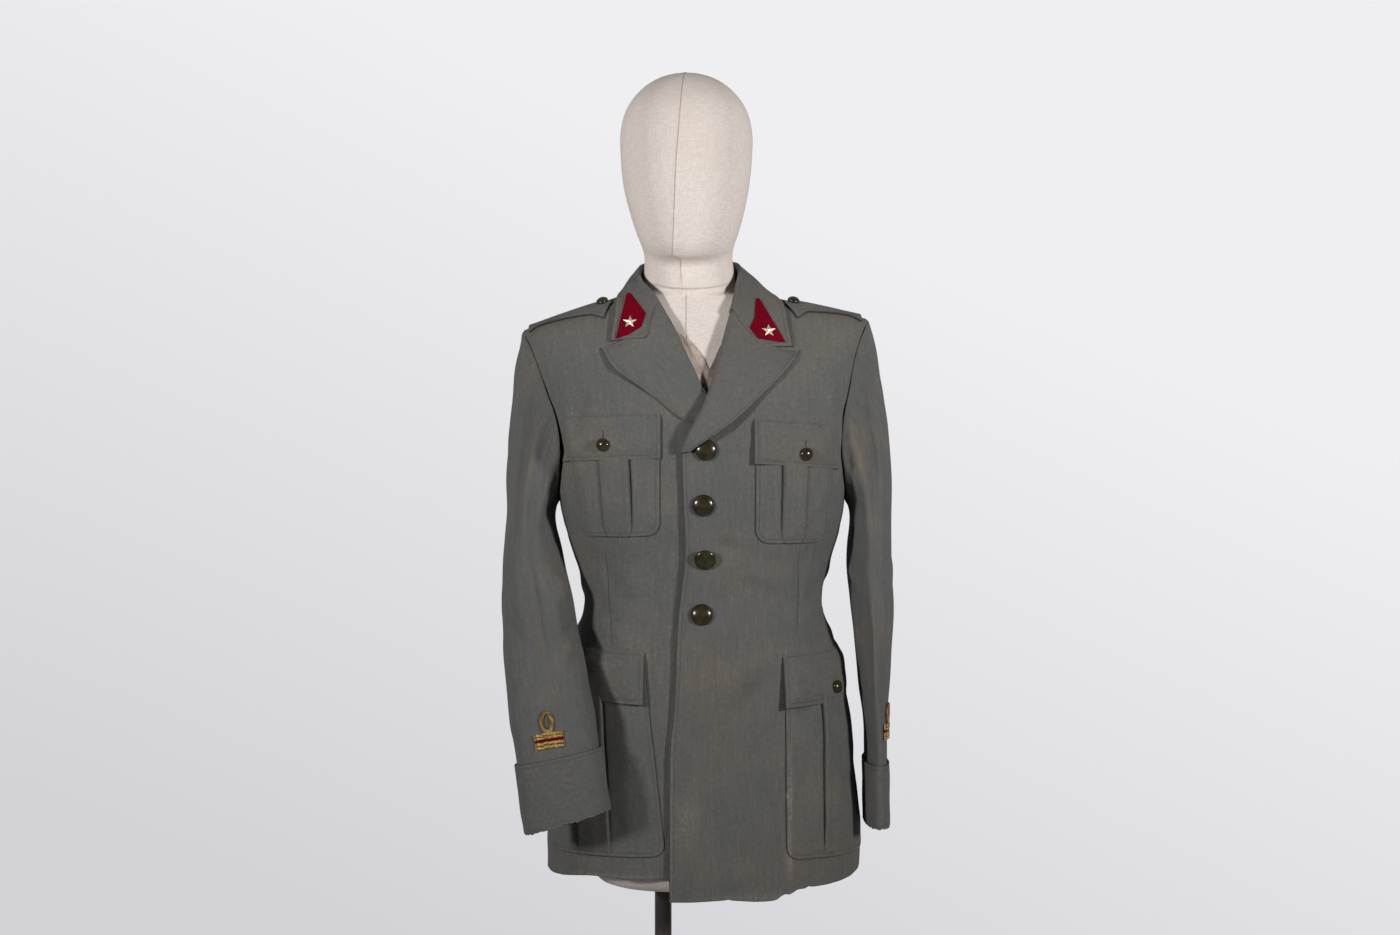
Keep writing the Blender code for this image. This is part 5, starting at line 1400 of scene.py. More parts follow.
def button(node, place, ahead, diameter, height, tilt=0.0):
    """A turned button with a domed face, tipped up or down by a tilt."""
    across, up, ahead = frame_at(ahead)
    tipped = math.cos(tilt) * ahead + math.sin(tilt) * up
    up = math.cos(tilt) * up - math.sin(tilt) * ahead
    turns = np.linspace(0.0, 2 * math.pi, BUTTON_SIDES, endpoint=False)
    ring = np.cos(turns)[:, None] * across + np.sin(turns)[:, None] * up
    rows = [place + tipped * rise * height + ring * max(wide, 0.0015) * diameter / 2
            for wide, rise in BUTTON_PROFILE]
    faces = grid_faces(len(rows), BUTTON_SIDES, True)
    dressed(add_mesh(node + "_dome", np.concatenate(rows), faces, [BUTTON]), node)


def outward_at(make, out):
    """A place at a height over the cloth, and the direction away from the cloth there."""
    near = make(out)
    return near, make(out + 0.002) - near


FRONT_BUTTONS = ((1, 0.003, 0.953, 0.0), (2, 0.000, 0.887, 0.0), (3, 0.002, 0.823, -0.30),
                 (4, -0.002, 0.756, 0.0))
FRONT_BUTTON = (0.0260, 0.0068)
SMALL_BUTTON = (0.0160, 0.0062)
STRAP_BUTTON = (0.0150, 0.0060)
POCKET_BUTTONS = {
    "chest_button_right": (-0.1180, 0.9590, False),
    "chest_button_left": (0.1210, 0.9480, False),
    "hip_button_right": (-0.1740, 0.6660, True),
    "hip_button_left": (0.1570, 0.6650, False),
}
BUTTON_SEAT = 0.0003
STRAP = dict(inner_x={1: 0.1110, -1: 0.0980}, outer_x=0.2030, inner_y=-0.0530,
             outer_y=-0.0225, half=0.0175, point=0.0120, button_in=0.0110, button_back=0.0060,
             thick=0.0026)


def buttons():
    """The front buttons, the pockets' and the shoulder straps'."""
    for number, x, z, tilt in FRONT_BUTTONS:
        seat = BUTTON_SEAT + abs(math.sin(tilt)) * 0.0100
        place, ahead = outward_at(lambda out: front_place(x, z, out), seat)
        button(f"front_button_{number}", place, ahead, *FRONT_BUTTON, tilt)
    for name, (across, z, girth) in POCKET_BUTTONS.items():
        make = skin if girth else front_place
        place, ahead = outward_at(lambda out: make(across, z, out), FLAP_OUT + BUTTON_SEAT)
        button(name, place, ahead, *SMALL_BUTTON)
    for name, side in (("strap_button_left", 1), ("strap_button_right", -1)):
        x = side * (STRAP["inner_x"][side] + STRAP["button_in"])
        rise = LAY_GAP + STRAP["thick"] + BUTTON_SEAT
        y = STRAP["inner_y"] + STRAP["button_back"]
        place, ahead = outward_at(lambda out: top_place(x, y, out), rise)
        button(name, place, ahead, *STRAP_BUTTON)


def strap(node, side):
    """A shoulder strap with a pointed inner end, lying along the shoulder seam."""
    rows = []
    for along in (0.0, 0.06, 0.14, 0.28, 0.42, 0.56, 0.68, 0.78, 0.86, 0.93, 1.0):
        x = mix(STRAP["inner_x"][side], STRAP["outer_x"], along)
        row = []
        for share in (-1.0, -0.75, -0.5, -0.25, 0.0, 0.33, 0.66, 1.0):
            y = mix(STRAP["inner_y"], STRAP["outer_y"], along) + STRAP["half"] * share
            point = STRAP["point"] * abs(share) * float(1.0 - smooth(0.0, 0.30, along))
            row.append(top_place(side * (x + point), y, LAY_GAP + STRAP["thick"]))
        rows.append(row)
    outer = refine(np.array(rows), stations(0.105, 0.0024, True, False), stations(0.041, 0.0020))
    across, along = grid_lengths(outer)
    edge = np.minimum(np.minimum(across, across[:, -1:] - across), along)
    normals = facing(grid_normals(outer), (0.0, 0.0, 1.0))
    outer = outer + normals * border(edge)[..., None]
    made = shell(node + "_cloth", outer, STRAP_CLOTH, [CLOTH_MATERIAL], stacked(across, along, edge),
                 wear=wear_at(outer), outward=normals)
    sewn(made, node)


SLEEVE_NAMES = "z      outer   inner   middle   deep    square tilt"
SLEEVE_LEFT = Table(
    SLEEVE_NAMES,
    (0.490, 0.2265, 0.2012, -0.0260, 0.0600, 2.3, 0.00),
    (0.604, 0.2255, 0.2000, -0.0200, 0.0620, 2.3, 0.00),
    (0.641, 0.2280, 0.1960, -0.0170, 0.0640, 2.3, 0.00),
    (0.679, 0.2305, 0.1910, -0.0140, 0.0660, 2.3, 0.00),
    (0.716, 0.2335, 0.1895, -0.0110, 0.0680, 2.3, 0.00),
    (0.754, 0.2348, 0.1850, -0.0080, 0.0700, 2.3, 0.00),
    (0.791, 0.2348, 0.1805, -0.0060, 0.0705, 2.3, 0.00),
    (0.835, 0.2345, 0.1815, -0.0040, 0.0720, 2.3, 0.00),
)
SLEEVE_RIGHT = Table(
    SLEEVE_NAMES,
    (0.500, 0.2040, 0.1090, -0.1530, 0.0250, 2.4, 0.32),
    (0.560, 0.2140, 0.1170, -0.1480, 0.0255, 2.4, 0.26),
    (0.612, 0.2225, 0.1255, -0.1400, 0.0275, 2.3, 0.20),
    (0.639, 0.2285, 0.1290, -0.1330, 0.0295, 2.3, 0.17),
    (0.668, 0.2330, 0.1360, -0.1220, 0.0330, 2.3, 0.14),
    (0.719, 0.2400, 0.1480, -0.0930, 0.0400, 2.3, 0.08),
    (0.758, 0.2440, 0.1565, -0.0640, 0.0490, 2.3, 0.04),
    (0.790, 0.2460, 0.1640, -0.0420, 0.0570, 2.3, 0.02),
    (0.820, 0.2470, 0.1730, -0.0250, 0.0650, 2.3, 0.00),
    (0.845, 0.2450, 0.1805, -0.0140, 0.0700, 2.3, 0.00),
)
SLEEVE_LEVELS = {
    1: (0.835, 0.800, 0.765, 0.730, 0.695, 0.660, 0.625, 0.604, 0.585, 0.560, 0.530, 0.497),
    -1: (0.845, 0.815, 0.785, 0.755, 0.725, 0.697, 0.668, 0.640, 0.612, 0.590, 0.565, 0.540, 0.519),
}
CUFF_HEIGHT = 0.076


def armhole_loop(side):
    """Armhole edge from the shoulder down the front, under the arm and up the back, with the
    panel's normal and the direction along the panel into the opening."""
    places = []
    for z in ARMHOLE_LEVELS[::-1]:
        girth = side_girth(z)
        if UNDERARM_Z < z < SHOULDER_Z:
            girth = girth_of_x(ARMHOLE("front_x", z), z)
        places.append((side * float(girth), z))
    for z in ARMHOLE_LEVELS[1:-1]:
        places.append((side * float(girth_of_x(ARMHOLE("back_x", z), z, 1)), z))
    edge = np.array([skin(girth, z, 0.0, False) for girth, z in places])
    normal = unit(np.array([skin(girth, z, 0.001, False) for girth, z in places]) - edge)
    along = np.roll(edge, -1, axis=0) - np.roll(edge, 1, axis=0)
    into = unit(np.cross(normal, along))
    if into[0, 0] * side < 0:
        into = -into
    return edge, normal, into


def ring_point(table, z, side, angle):
    """Points of a sleeve ring. Angle 0 is the outer side and a quarter turn is the front."""
    z, angle = np.broadcast_arrays(np.asarray(z, float), np.asarray(angle, float))
    outer = table("outer", z)
    inner = table("inner", z)
    power = 2.0 / table("square", z)
    across = np.copysign(np.abs(np.cos(angle)) ** power, np.cos(angle))
    ahead = np.copysign(np.abs(np.sin(angle)) ** power, np.sin(angle))
    x = (outer + inner) / 2 + (outer - inner) / 2 * across
    y = table("middle", z) - table("deep", z) * ahead
    fall = table("tilt", z) * (x - (outer + inner) / 2)
    return stacked(side * x + AXIS_X, y, z - fall)


def sleeve_surface(table, side):
    """Outer grid of a sleeve: the cap falls from the armhole to the top ring of the table."""
    edge, normal, into = armhole_loop(side)
    length = np.linalg.norm(np.roll(edge, -1, axis=0) - edge, axis=1)
    turn = np.concatenate([[0.0], np.cumsum(length)[:-1]]) / length.sum() * 2 * math.pi
    top_z = table.rows[-1, 0]
    low = smooth(0.35, 1.0, (1.0 - np.cos(turn)) / 2)[:, None]
    crown = smooth(0.70, 1.0, (1.0 + np.cos(turn)) / 2)[:, None]
    head = into * mix(1.0, 0.5, crown) + normal * 1.1 * low
    head = unit(head + np.array([0.0, 0.0, -1.0]) * mix(mix(0.55, 1.1, crown), 2.2, low))
    turned_in = np.maximum(0.0, -np.sum(head * normal, axis=1, keepdims=True))
    start = edge + into * (SEAM_GAP + 0.0005 + CLOTH * turned_in)
    start = start + normal * (SEAM_GAP + 0.0002) * low
    target = ring_point(table, top_z, side, turn)
    below = ring_point(table, top_z - 0.002, side, turn)
    chord = np.linalg.norm(target - start, axis=1, keepdims=True)
    pull = unit(below - target)
    rows = []
    for u in np.arange(7) / 7.0:
        rows.append(hermite(u, chord, start, target, head, 0.9 * pull))
    rows += [ring_point(table, z, side, turn) for z in SLEEVE_LEVELS[side]]
    return np.array(rows), turn


SLEEVE_LENGTH = 0.62
SLEEVE_COLUMNS = 168
SLEEVE_SEAM_DEPTH = 0.0010
SLEEVE_SEAM_WIDTH = 0.0030
SLEEVE_TURN_WIDTH = 0.055
SLEEVE_CREASES = {
    1: (
        (0.0870, 1.0600, 0.0900, 0.7700, 0.0030, 0.0090, 0.0046, 0.35),
        (0.0640, 1.0300, 0.0700, 0.8400, -0.0030, 0.0110, -0.0030, 0.45),
        (0.0930, 0.8300, 0.0880, 0.5900, -0.0030, 0.0080, 0.0036, 0.40),
        (0.0600, 0.7600, 0.0640, 0.6100, 0.0030, 0.0110, -0.0022, 0.50),
        (0.1300, 0.9100, 0.0950, 0.8600, 0.0050, 0.0110, -0.0034, 0.35),
        (0.1550, 0.8200, 0.1050, 0.7900, 0.0060, 0.0110, 0.0040, 0.40),
        (0.1600, 0.7850, 0.1100, 0.7450, -0.0050, 0.0100, -0.0036, 0.45),
        (0.1500, 0.7500, 0.1150, 0.7100, 0.0040, 0.0100, 0.0030, 0.50),
        (0.0200, 1.0400, 0.0120, 0.8300, 0.0040, 0.0150, 0.0030, 0.40),
        (-0.0550, 0.8200, 0.0250, 0.7900, 0.0070, 0.0130, 0.0018, 0.35),
        (-0.0500, 0.7700, 0.0200, 0.7450, -0.0060, 0.0120, -0.0018, 0.35),
        (-0.0850, 1.0300, -0.0700, 0.8800, 0.0050, 0.0140, 0.0036, 0.45),
        (-0.0700, 0.7000, -0.0600, 0.5800, -0.0040, 0.0120, 0.0030, 0.50),
    ),
    -1: (
        (0.0740, 1.0500, 0.0770, 0.8000, -0.0030, 0.0100, 0.0046, 0.35),
        (0.1010, 0.9900, 0.1000, 0.8300, 0.0030, 0.0100, -0.0032, 0.45),
        (0.0720, 0.8600, 0.0860, 0.6300, 0.0040, 0.0100, 0.0036, 0.40),
        (0.0480, 0.9800, 0.0520, 0.8600, 0.0030, 0.0100, -0.0024, 0.50),
        (0.1500, 0.9000, 0.1050, 0.8500, 0.0050, 0.0110, -0.0030, 0.40),
        (0.1550, 0.8100, 0.0900, 0.7600, 0.0070, 0.0120, 0.0044, 0.40),
        (0.1600, 0.7700, 0.1000, 0.7250, 0.0060, 0.0100, -0.0038, 0.40),
        (0.1500, 0.7350, 0.1000, 0.6950, -0.0040, 0.0110, 0.0034, 0.45),
        (0.0300, 0.7800, 0.0650, 0.7000, -0.0040, 0.0120, -0.0028, 0.50),
        (0.0000, 1.0300, 0.0100, 0.8000, -0.0040, 0.0160, 0.0032, 0.40),
        (-0.0600, 0.8000, 0.0250, 0.7700, -0.0070, 0.0130, 0.0020, 0.35),
        (-0.0500, 0.7500, 0.0200, 0.7200, 0.0050, 0.0120, -0.0018, 0.35),
        (-0.0800, 1.0200, -0.0750, 0.8700, -0.0050, 0.0140, 0.0034, 0.50),
    ),
}
SLEEVE_SEAMS = {1: (2.75, 4.05), -1: (2.85, 4.10)}


def sleeve(node, table, side):
    """A set-in sleeve with its two long seams, eased at the crown and creased at the elbow."""
    coarse, turn = sleeve_surface(table, side)
    outer = refine(coarse, stations(SLEEVE_LENGTH, 0.0044), SLEEVE_COLUMNS, closed=True)
    turn = np.interp(np.arange(SLEEVE_COLUMNS) / SLEEVE_COLUMNS * len(turn),
                     np.arange(len(turn) + 1), np.append(turn, 2 * math.pi))[None, :]
    normals = tube_normals(outer, 100)
    along = grid_lengths(outer)[1]
    z = outer[..., 2]
    out = seam_dip(along) + 0.0009 * waves(turn * SLEEVE_TURN_WIDTH, z, 0.09, 30 + side)
    around = (turn + math.pi / 2) % (2 * math.pi) - math.pi / 2
    for shift in (-2 * math.pi, 0.0, 2 * math.pi):
        out = out + crease_field(SLEEVE_CREASES[side], (around + shift) * SLEEVE_TURN_WIDTH, z)
    at_end = fade(0.0, 0.10, along[-1:] - along)
    out = out * smooth(-0.002, 0.020, along) * (1.0 - 0.9 * at_end)
    out = out + seam_dip(along) * 0.6
    seams = [(turn - at) * SLEEVE_TURN_WIDTH for at in SLEEVE_SEAMS[side]]
    for distance in seams:
        groove = bell(distance, SLEEVE_SEAM_WIDTH)
        out = out - SLEEVE_SEAM_DEPTH * smooth(0.0, 0.02, along) * groove
    outer = outer + normals * out[..., None]
    # The wear attribute's second part rises where the creases stand up: painted highlight along the
    # ridges.
    made = shell(node + "_cloth", outer, CLOTH, [CLOTH_MATERIAL, LINING_BROWN],
                 stacked(turn * SLEEVE_TURN_WIDTH, along, FAR),
                 stacked(*(distance * 1.6 for distance in seams), 0.5),
                 stacked(0.0, smooth(0.0012, 0.0040, out), 0.0), normals, True)
    sewn(made, node)
    return tree_of(made)


CUFF_COLUMNS = 220
CUFF_TURN_WIDTH = 0.05
# Where round each cuff its fold is most worn
CUFF_WORN = {1: 1.6, -1: 2.2}


def cuff(node, table, side, bottom):
    """A turned-back cuff round the sleeve's end, with a ragged lower fold."""
    z = bottom + CUFF_HEIGHT - stations(CUFF_HEIGHT, 0.0031)[:, None] * CUFF_HEIGHT
    turn = np.linspace(0.0, 2 * math.pi, CUFF_COLUMNS, endpoint=False)[None, :]
    place = turn * CUFF_TURN_WIDTH
    ragged = 0.0007 * waves(place, 0.0, 0.012, 40 + side)
    worn = smooth(0.1, 0.9, np.cos(turn - CUFF_WORN[side]))
    bites = 0.0022 * worn * np.clip(waves(place, 0.5, 0.007, 44 + side), 0.0, 1.0)
    low = fade(0.0, 0.010, z - bottom)
    outer = ring_point(table, z + (ragged + bites) * low, side, turn)
    normals = tube_normals(outer)
    edge = np.minimum(bottom + CUFF_HEIGHT - z, z - bottom + 0.003)
    out = CUFF_GAP + CLOTH + border(edge) + 0.0005 * waves(place, z, 0.06, 50 + side)
    outer = outer + normals * out[..., None]
    rubbed = worn * fade(0.0, 0.004, z - bottom) * 0.4
    made = shell(node + "_cloth", outer, CUFF_CLOTH, [CLOTH_MATERIAL],
                 stacked(turn * SLEEVE_TURN_WIDTH, z, edge), None, stacked(rubbed, 0.0, 0.0), normals,
                 True)
    sewn(made, node)


def tree_of(made):
    return BVHTree.FromObject(made, bpy.context.evaluated_depsgraph_get())


def settle(tree, points, out):
    """Brings points to a height over the nearest place of a surface."""
    flat = points.reshape(-1, 3)
    out = np.broadcast_to(out, points.shape[:-1]).ravel()
    placed = []
    for point, high in zip(flat, out):
        hit, normal, _, _ = tree.find_nearest(Vector(point))
        placed.append(np.array(hit) + np.array(normal) * high)
    return np.array(placed).reshape(points.shape)


def from_front(tree, x, z):
    """Places of a surface straight ahead of the camera's side, by x on the figure and height."""
    x, z = np.broadcast_arrays(x, z)
    hits = []
    for a, b in zip(x.ravel(), z.ravel()):
        hit = tree.ray_cast(Vector((a + AXIS_X, -1.0, b)), Vector((0.0, 1.0, 0.0)))[0]
        hits.append(np.array(hit))
    return np.array(hits).reshape(x.shape + (3,))


PATCH_RIGHT = Table("z left right", (1.0870, -0.1049, -0.1032), (1.0913, -0.1040, -0.0908),
                    (1.1011, -0.1019, -0.0748), (1.1177, -0.0984, -0.0694),
                    (1.1340, -0.0950, -0.0812), (1.1444, -0.0932, -0.0888))
PATCH_LEFT = Table("z left right", (1.0827, 0.0913, 0.0985), (1.0865, 0.0658, 0.0965),
                   (1.1005, 0.0561, 0.0885), (1.1123, 0.0620, 0.0816), (1.1371, 0.0641, 0.0679))
PATCH_THICK = 0.0012
STAR_RADIUS = 0.0088
STAR_HEIGHT = 0.0026
STAR_GAP = 0.0002
STAR_CORNERS = (1.0, 0.545, 0.40, 0.545)
# Rings of a star: height over its foot and share of its width
STAR_RINGS = ((0.0, 1.0), (0.0006, 1.0), (0.0014, 0.62), (0.0021, 0.30))


def straight(table, name, at):
    """Reads a table as straight runs between its rows."""
    return np.interp(at, table.rows[:, 0], table.rows[:, table.names.index(name)])


def collar_patch(node, table, tree):
    """A felt patch with a soft edge, sewn on the collar's end."""
    z = mix(table.rows[0, 0], table.rows[-1, 0], stations(0.056, 0.0016))[:, None]
    shares = stations(0.022, 0.0012)[None, :]
    left, right = straight(table, "left", z), straight(table, "right", z)
    x = mix(left, right, shares)
    edge = np.minimum(np.minimum(x - left, right - x), np.minimum(z - z[0], z[-1] - z))
    hits = from_front(tree, x, z)
    outer = settle(tree, hits, PATCH_GAP + PATCH_THICK - 0.0009 * fade(0.0, 0.0016, edge))
    made = shell(node + "_felt", outer, PATCH_THICK * 0.85, [PATCH],
                 stacked(x, z, edge))
    sewn(made, node)
    return tree_of(made)


def star(node, x, z, tree):
    """A plain five-pointed star, raised to sharp ridges and a small boss."""
    centre = from_front(tree, np.array(x), np.array(z))
    ahead = settle(tree, centre, 0.004) - centre
    across, up, ahead = frame_at(ahead)
    base = centre + ahead * STAR_GAP
    points = [base, base + ahead * STAR_HEIGHT]
    rings = []
    for high, wide in STAR_RINGS:
        ring = []
        for k in range(20):
            angle = math.pi / 2 + math.pi * k / 10
            radius = STAR_RADIUS * STAR_CORNERS[k % 4] * wide
            ring.append(len(points))
            points.append(base + ahead * high
                          + (across * math.cos(angle) + up * math.sin(angle)) * radius)
        rings.append(ring)
    faces = []
    for k in range(20):
        beside = (k + 1) % 20
        faces.append((0, rings[0][beside], rings[0][k], 0))
        faces.append((1, rings[-1][k], rings[-1][beside], 1))
        for low, high in zip(rings, rings[1:]):
            faces.append((low[k], low[beside], high[beside], high[k]))
    made = add_mesh(node + "_relief", points, faces, [BRASS])
    made.data.set_sharp_from_angle(angle=math.radians(25))
    dressed(made, node)


BADGE_HALF = 0.0175
BADGE_TOP = 0.0190
BADGE_WALL = 0.0006
# Bars of a rank badge from the bottom: foot, head, rise and which cloth or wire
BADGE_BARS = ((0.0002, 0.0044, 0.0020, "gold"), (0.0048, 0.0088, 0.0020, "gold"),
              (0.0090, 0.0118, 0.0013, "crimson"), (0.0118, 0.0150, 0.0020, "gold"),
              (0.0152, BADGE_TOP, 0.0022, "gold"))
# The curl above them: half width, top and the width of its band
BADGE_LOOP = (0.0085, 0.0435, 0.0048)


def sleeve_frame(table, side, angle, z):
    """A place on a sleeve with its directions round the sleeve, up and outward."""
    here = ring_point(table, z, side, angle)
    round_it = unit(ring_point(table, z, side, angle + 0.02) - ring_point(table, z, side, angle - 0.02))
    up = unit(ring_point(table, z + 0.003, side, angle) - ring_point(table, z - 0.003, side, angle))
    out = unit(np.cross(up, round_it))
    middle = (ring_point(table, z, side, 0.0) + ring_point(table, z, side, math.pi)) / 2
    if out @ (here - middle) < 0:
        out = -out
    return here, np.cross(up, out), up, out


def rank_badge(node, table, side, angle, z, gap, tree):
    """A rank badge: bars of gold wire round a crimson stripe, with an open curl above."""
    here, across, up, out = sleeve_frame(table, side, angle, z)

    def place(u, v, high):
        u, v, high = np.broadcast_arrays(u, v, high)
        flat = here + u[..., None] * across + v[..., None] * up + out * 0.004
        return settle(tree, flat, high)

    pieces = []
    us = np.linspace(-1.0, 1.0, 30)[None, :]
    vs = np.linspace(-1.0, 1.0, 9)[:, None]
    round_off = np.sqrt(np.clip(1.0 - np.abs(vs) ** 3.0, 0.0, 1.0))
    ends = np.sqrt(np.clip(1.0 - np.abs(us) ** 24.0, 0.0, 1.0))
    for number, (foot, head, rise, item) in enumerate(BADGE_BARS):
        half = BADGE_HALF * (1.0 + 0.02 * math.sin(number * 2.1))
        wave = 0.00012 * np.sin(us * 9.0 + number * 1.7)
        v = (foot + head) / 2 + vs * (head - foot) / 2 + wave
        outer = place(us * half, v, gap + rise * (0.45 + 0.55 * round_off * ends))
        pieces.append((outer, item, stacked(*grid_lengths(outer), FAR)))
    wide, top, band = BADGE_LOOP
    turns = np.linspace(-0.5 * math.pi, 1.5 * math.pi, 44)[:, None]
    tube = np.linspace(-1.0, 1.0, 8)[None, :]
    middle = (BADGE_TOP + top - band / 2) / 2 + 0.0010
    u = (wide - band / 2 + tube * band / 2) * np.cos(turns)
    v = middle + ((top - BADGE_TOP) / 2 - band * 0.20 + tube * band / 2) * np.sin(turns)
    outer = place(u, v, gap + 0.0019 * (0.35 + 0.65 * np.sqrt(1.0 - np.abs(tube) ** 2.5)))
    length = grid_lengths(outer)[1]
    pieces.append((outer, "gold", stacked(length, length, FAR)))
    made = [shell(f"{node}_{number}", outer, BADGE_WALL, [GOLD if item == "gold" else PATCH], cloth,
                  outward=out)
            for number, (outer, item, cloth) in enumerate(pieces)]
    dressed(joined(made, node + "_wire"), node)


def joined(parts, name):
    """One object from several, with their materials kept."""
    first = parts[0]
    with bpy.context.temp_override(active_object=first, selected_editable_objects=parts):
        bpy.ops.object.join()
    first.name = name
    first.data.name = name
    return first


# The dress form and the stand
FORM_INSET = Table(
    "z     side    front   back",
    (0.440, 0.0580, 0.0140, 0.0300),
    (0.520, 0.0400, 0.0120, 0.0200),
    (0.620, 0.0220, 0.0120, 0.0140),
    (0.773, 0.0080, 0.0120, 0.0090),
    (0.890, 0.0100, 0.0130, 0.0090),
    (0.960, 0.0160, 0.0130, 0.0090),
    (1.040, 0.0200, 0.0120, 0.0080),
    (1.090, 0.0110, 0.0100, 0.0090),
    (1.114, 0.0050, 0.0075, 0.0080),
    (1.150, 0.0020, 0.0040, 0.0040),
)
FORM_LEVELS = (0.455, 0.520, 0.600, 0.680, 0.725, 0.773, 0.820, 0.870, 0.920, 0.970, 1.015,
               1.055, 1.085, 1.102, 1.1125, 1.120, 1.128, 1.136, 1.142)
FORM_SINK = 0.0029
NECK_SLOPE = 0.340
NECK_RINGS = ((1.1485, 0.0640, 0.0578, 0.0600, 0.05), (1.1600, 0.0585, 0.0580, 0.0580, 0.20),
              (1.1690, 0.0570, 0.0585, 0.0570, NECK_SLOPE))
BOTTOM_ROUND = ((0.0, 0.022), (0.005, 0.010), (0.013, 0.003), (0.024, 0.0))
HEAD = (
    (1.1692, 0.0570, 0.0585, 0.0570, NECK_SLOPE, 0.0000),
    (1.1830, 0.0555, 0.0580, 0.0560, 0.28, -0.0010),
    (1.1970, 0.0550, 0.0590, 0.0570, 0.31, -0.0015),
    (1.2060, 0.0565, 0.0650, 0.0600, 0.34, -0.0020),
    (1.2140, 0.0590, 0.0740, 0.0660, 0.35, -0.0022),
    (1.2260, 0.0635, 0.0830, 0.0760, 0.33, -0.0025),
    (1.2450, 0.0695, 0.0900, 0.0880, 0.28, -0.0030),
    (1.2860, 0.0788, 0.0970, 0.1010, 0.16, -0.0040),
    (1.3200, 0.0820, 0.0980, 0.1050, 0.08, -0.0040),
    (1.3480, 0.0824, 0.0960, 0.1040, 0.03, -0.0040),
    (1.3750, 0.0760, 0.0870, 0.0950, 0.00, -0.0040),
    (1.3940, 0.0640, 0.0730, 0.0800, 0.00, -0.0040),
    (1.4100, 0.0460, 0.0530, 0.0580, 0.00, -0.0040),
    (1.4195, 0.0250, 0.0290, 0.0320, 0.00, -0.0040),
    (1.4236, 0.0060, 0.0070, 0.0080, 0.00, -0.0040),
)
FORM_SIDES = 128
TORSO_ROWS = 150
HEAD_ROWS = 104
# Heights between which the linen's middle seam shows
TORSO_SEAM = (0.40, 1.1440)
HEAD_SEAM = (1.1555, 1.4230)
# How much the form is drawn in at its sides where the tunic hides it
HIDDEN_INSET = 0.010
LINEN_SEAM_HEIGHT = 0.0007
LINEN_SEAM_WIDTH = 0.0024


def oval(half, front, back, square):
    """One turn of a section, from the centre front round by +X."""
    angle = np.linspace(0.0, 2 * math.pi, FORM_SIDES, endpoint=False)
    power = 2.0 / square
    x = half * np.copysign(np.abs(np.sin(angle)) ** power, np.sin(angle))
    depth = np.where(np.cos(angle) > 0, front, back)
    y = -depth * np.copysign(np.abs(np.cos(angle)) ** power, np.cos(angle))
    return x, y


def neck_lean(x, y, z):
    return stacked(x + SWAY("x", 1.16) + AXIS_X, y, z)


def form_piece(node, rings, rows, middle_x, seam_low, seam_high):
    """A smooth closed body of the form, with its linen seam down the middle."""
    outer = refine(np.array(rings), rows, FORM_SIDES * 2, closed=True)
    caps = [outer[0].mean(axis=0), outer[-1].mean(axis=0)]
    x, _, z = np.moveaxis(outer, -1, 0)
    aside = x - middle_x(z)
    shown = smooth(seam_low, seam_low + 0.004, z) * fade(seam_high - 0.004, seam_high, z)
    out = bell(aside, LINEN_SEAM_WIDTH) * LINEN_SEAM_HEIGHT * shown
    outer = outer + tube_normals(outer) * out[..., None]
    made_rows, columns = outer.shape[:2]
    count = made_rows * columns
    index = np.arange(columns)
    beside = (index + 1) % columns
    last = count - columns
    faces = np.concatenate([grid_faces(made_rows, columns, True),
                            stacked(count, beside, index, count),
                            stacked(count + 1, last + index, last + beside, count + 1)])
    picked = np.append(np.arange(count), [0, last])
    values = {"seam": stacked(aside, FAR, shown), "cloth": outer[..., [0, 2, 1]]}
    made = add_mesh(node + "_linen", np.concatenate([outer.reshape(-1, 3), caps]), faces, [LINEN],
                    attributes={key: grid.reshape(-1, 3)[picked] for key, grid in values.items()})
    dressed(made, node)


def form_sizes(source, level, sides=0.0):
    """Half width and depths of the form in the tunic: the body's own, less the room between."""
    return (BODY("half", source) - FORM_INSET("side", level) - sides,
            BODY("front", source) - FORM_INSET("front", level),
            BODY("back", source) - FORM_INSET("back", level))


def dress_form():
    """The form's body with its neck's foot, and its head."""
    first = FORM_LEVELS[0]
    rings = []
    for rise, shrink in BOTTOM_ROUND:
        x, y = oval(*(size - shrink for size in form_sizes(first, first)), BODY("square", first))
        rings.append(lean(stacked(x, y, FORM_BOTTOM_Z + rise)))
    for z in FORM_LEVELS:
        source = min(z + FORM_SINK * smooth(1.02, 1.112, z), NECKLINE_Z)
        hidden = HIDDEN_INSET * smooth(0.60, 0.70, z) * fade(1.00, 1.05, z)
        x, y = oval(*form_sizes(source, z, hidden), BODY("square", source))
        rings.append(lean(stacked(x, y, z)))
    for z, half, front, back, slope in NECK_RINGS:
        x, y = oval(half, front, back, 2.0)
        rings.append(neck_lean(x, y, z + slope * y))
    form_piece("form_torso", rings, TORSO_ROWS, chest_seam, *TORSO_SEAM)
    rings = []
    for z, half, front, back, slope, shift in HEAD:
        x, y = oval(half, front, back, 2.1)
        rings.append(neck_lean(x + shift, y, z + slope * y))
    form_piece("form_head", rings, HEAD_ROWS, head_seam, *HEAD_SEAM)


def chest_seam(z):
    """Where the linen's middle seam runs on the body."""
    return np.full(z.shape, 0.0290)


def head_seam(z):
    """Where it runs on the neck and the head."""
    return np.interp(z, (1.15, 1.187, 1.189, 1.30, 1.40, 1.43),
                     (0.0232, 0.0222, 0.0125, 0.0170, 0.0250, 0.0290))


def metal(node, item):
    """A turned solid keeps its shape and gets its finish."""
    made = NODES[node]
    made.data.materials.clear()
    made.data.materials.append(item)


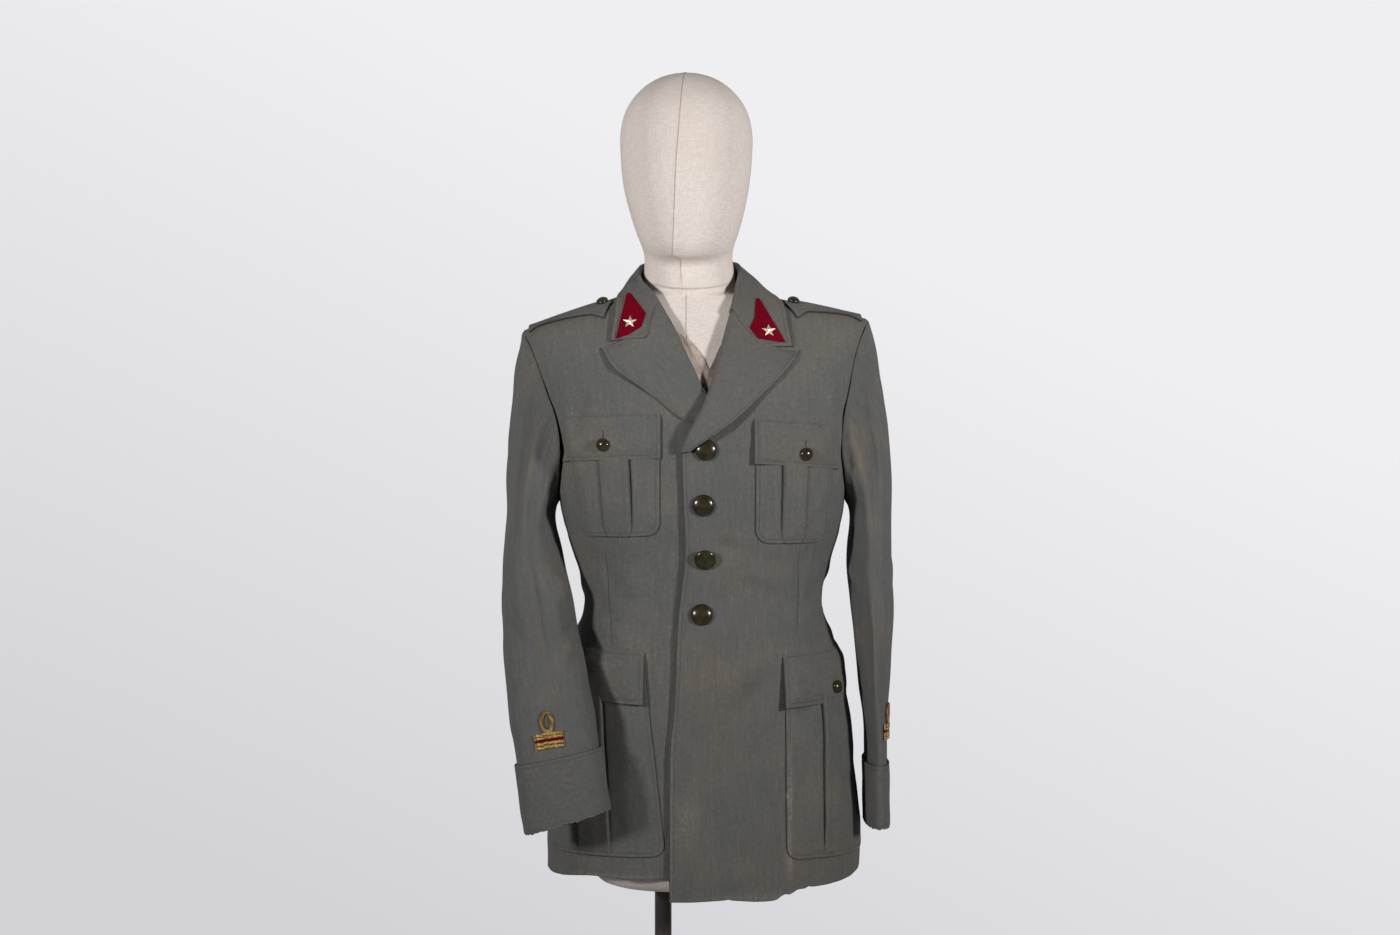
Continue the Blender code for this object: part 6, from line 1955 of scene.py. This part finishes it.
# All of it
def build():
    """Makes the stage and all pieces, the cloth from the inside out."""
    camera()
    lamps()
    surroundings()
    floor()
    body_panel("front_left", front_ends(1, EDGE_LEFT), HEM_LEFT)
    body_panel("front_right", front_ends(-1, EDGE_RIGHT), HEM_RIGHT)
    body_panel("back_left", back_ends(1), HEM_BACK)
    body_panel("back_right", back_ends(-1), HEM_BACK)
    lapel("lapel_left", LAPEL_LEFT)
    lapel("lapel_right", LAPEL_RIGHT)
    lining_strip("lining_strip_right", LAPEL_RIGHT, 0.0190, LINING_BEIGE)
    # Painted shade: a dark facing strip standing in for the shadow inside the opening's bottom.
    lining_strip("lining_strip_left", LAPEL_LEFT, 0.0130, LINING_PAINTED_SHADE)
    fall = collar()
    for node, values in POCKETS.items():
        pocket(node, **values)
    for node, values in FLAPS.items():
        flap(node, **values, flat=(0.125, 0.062) if node.startswith("chest") else (0.170, 0.068))
    strap("shoulder_strap_left", 1)
    strap("shoulder_strap_right", -1)
    buttons()
    left = sleeve("sleeve_left", SLEEVE_LEFT, 1)
    right = sleeve("sleeve_right", SLEEVE_RIGHT, -1)
    cuff("cuff_left", SLEEVE_LEFT, 1, 0.496)
    cuff("cuff_right", SLEEVE_RIGHT, -1, 0.518)
    felt_right = collar_patch("collar_patch_right", PATCH_RIGHT, fall)
    felt_left = collar_patch("collar_patch_left", PATCH_LEFT, fall)
    star("collar_star_right", -0.0885, 1.1075, felt_right)
    star("collar_star_left", 0.0787, 1.0967, felt_left)
    rank_badge("rank_badge_right", SLEEVE_RIGHT, -1, 1.50, 0.6060, 0.0008, right)
    rank_badge("rank_badge_left", SLEEVE_LEFT, 1, 0.80, 0.6020, 0.0014, left)
    dress_form()
    metal("stand_base", STAND)
    metal("stand_pole", STAND)


CLOTH_MATERIAL = gabardine("gabardine")
LINING = satin("lining_grey", (0.160, 0.145, 0.120))
LINING_BROWN = satin("lining_brown", (0.090, 0.052, 0.036))
LINING_BEIGE = satin("lining_beige", (0.480, 0.390, 0.325))
# Dark brown colour of the facing, set dark as painted shade inside the opening
LINING_PAINTED_SHADE = satin("lining_painted_shade", (0.230, 0.180, 0.145))
LINEN = linen("linen")
PATCH = felt("crimson_felt")
GOLD = gold_wire("gold_wire")
BRASS = brass("worn_brass")
BUTTON = corozo("polished_button")
STAND = painted("stand_paint")
build()
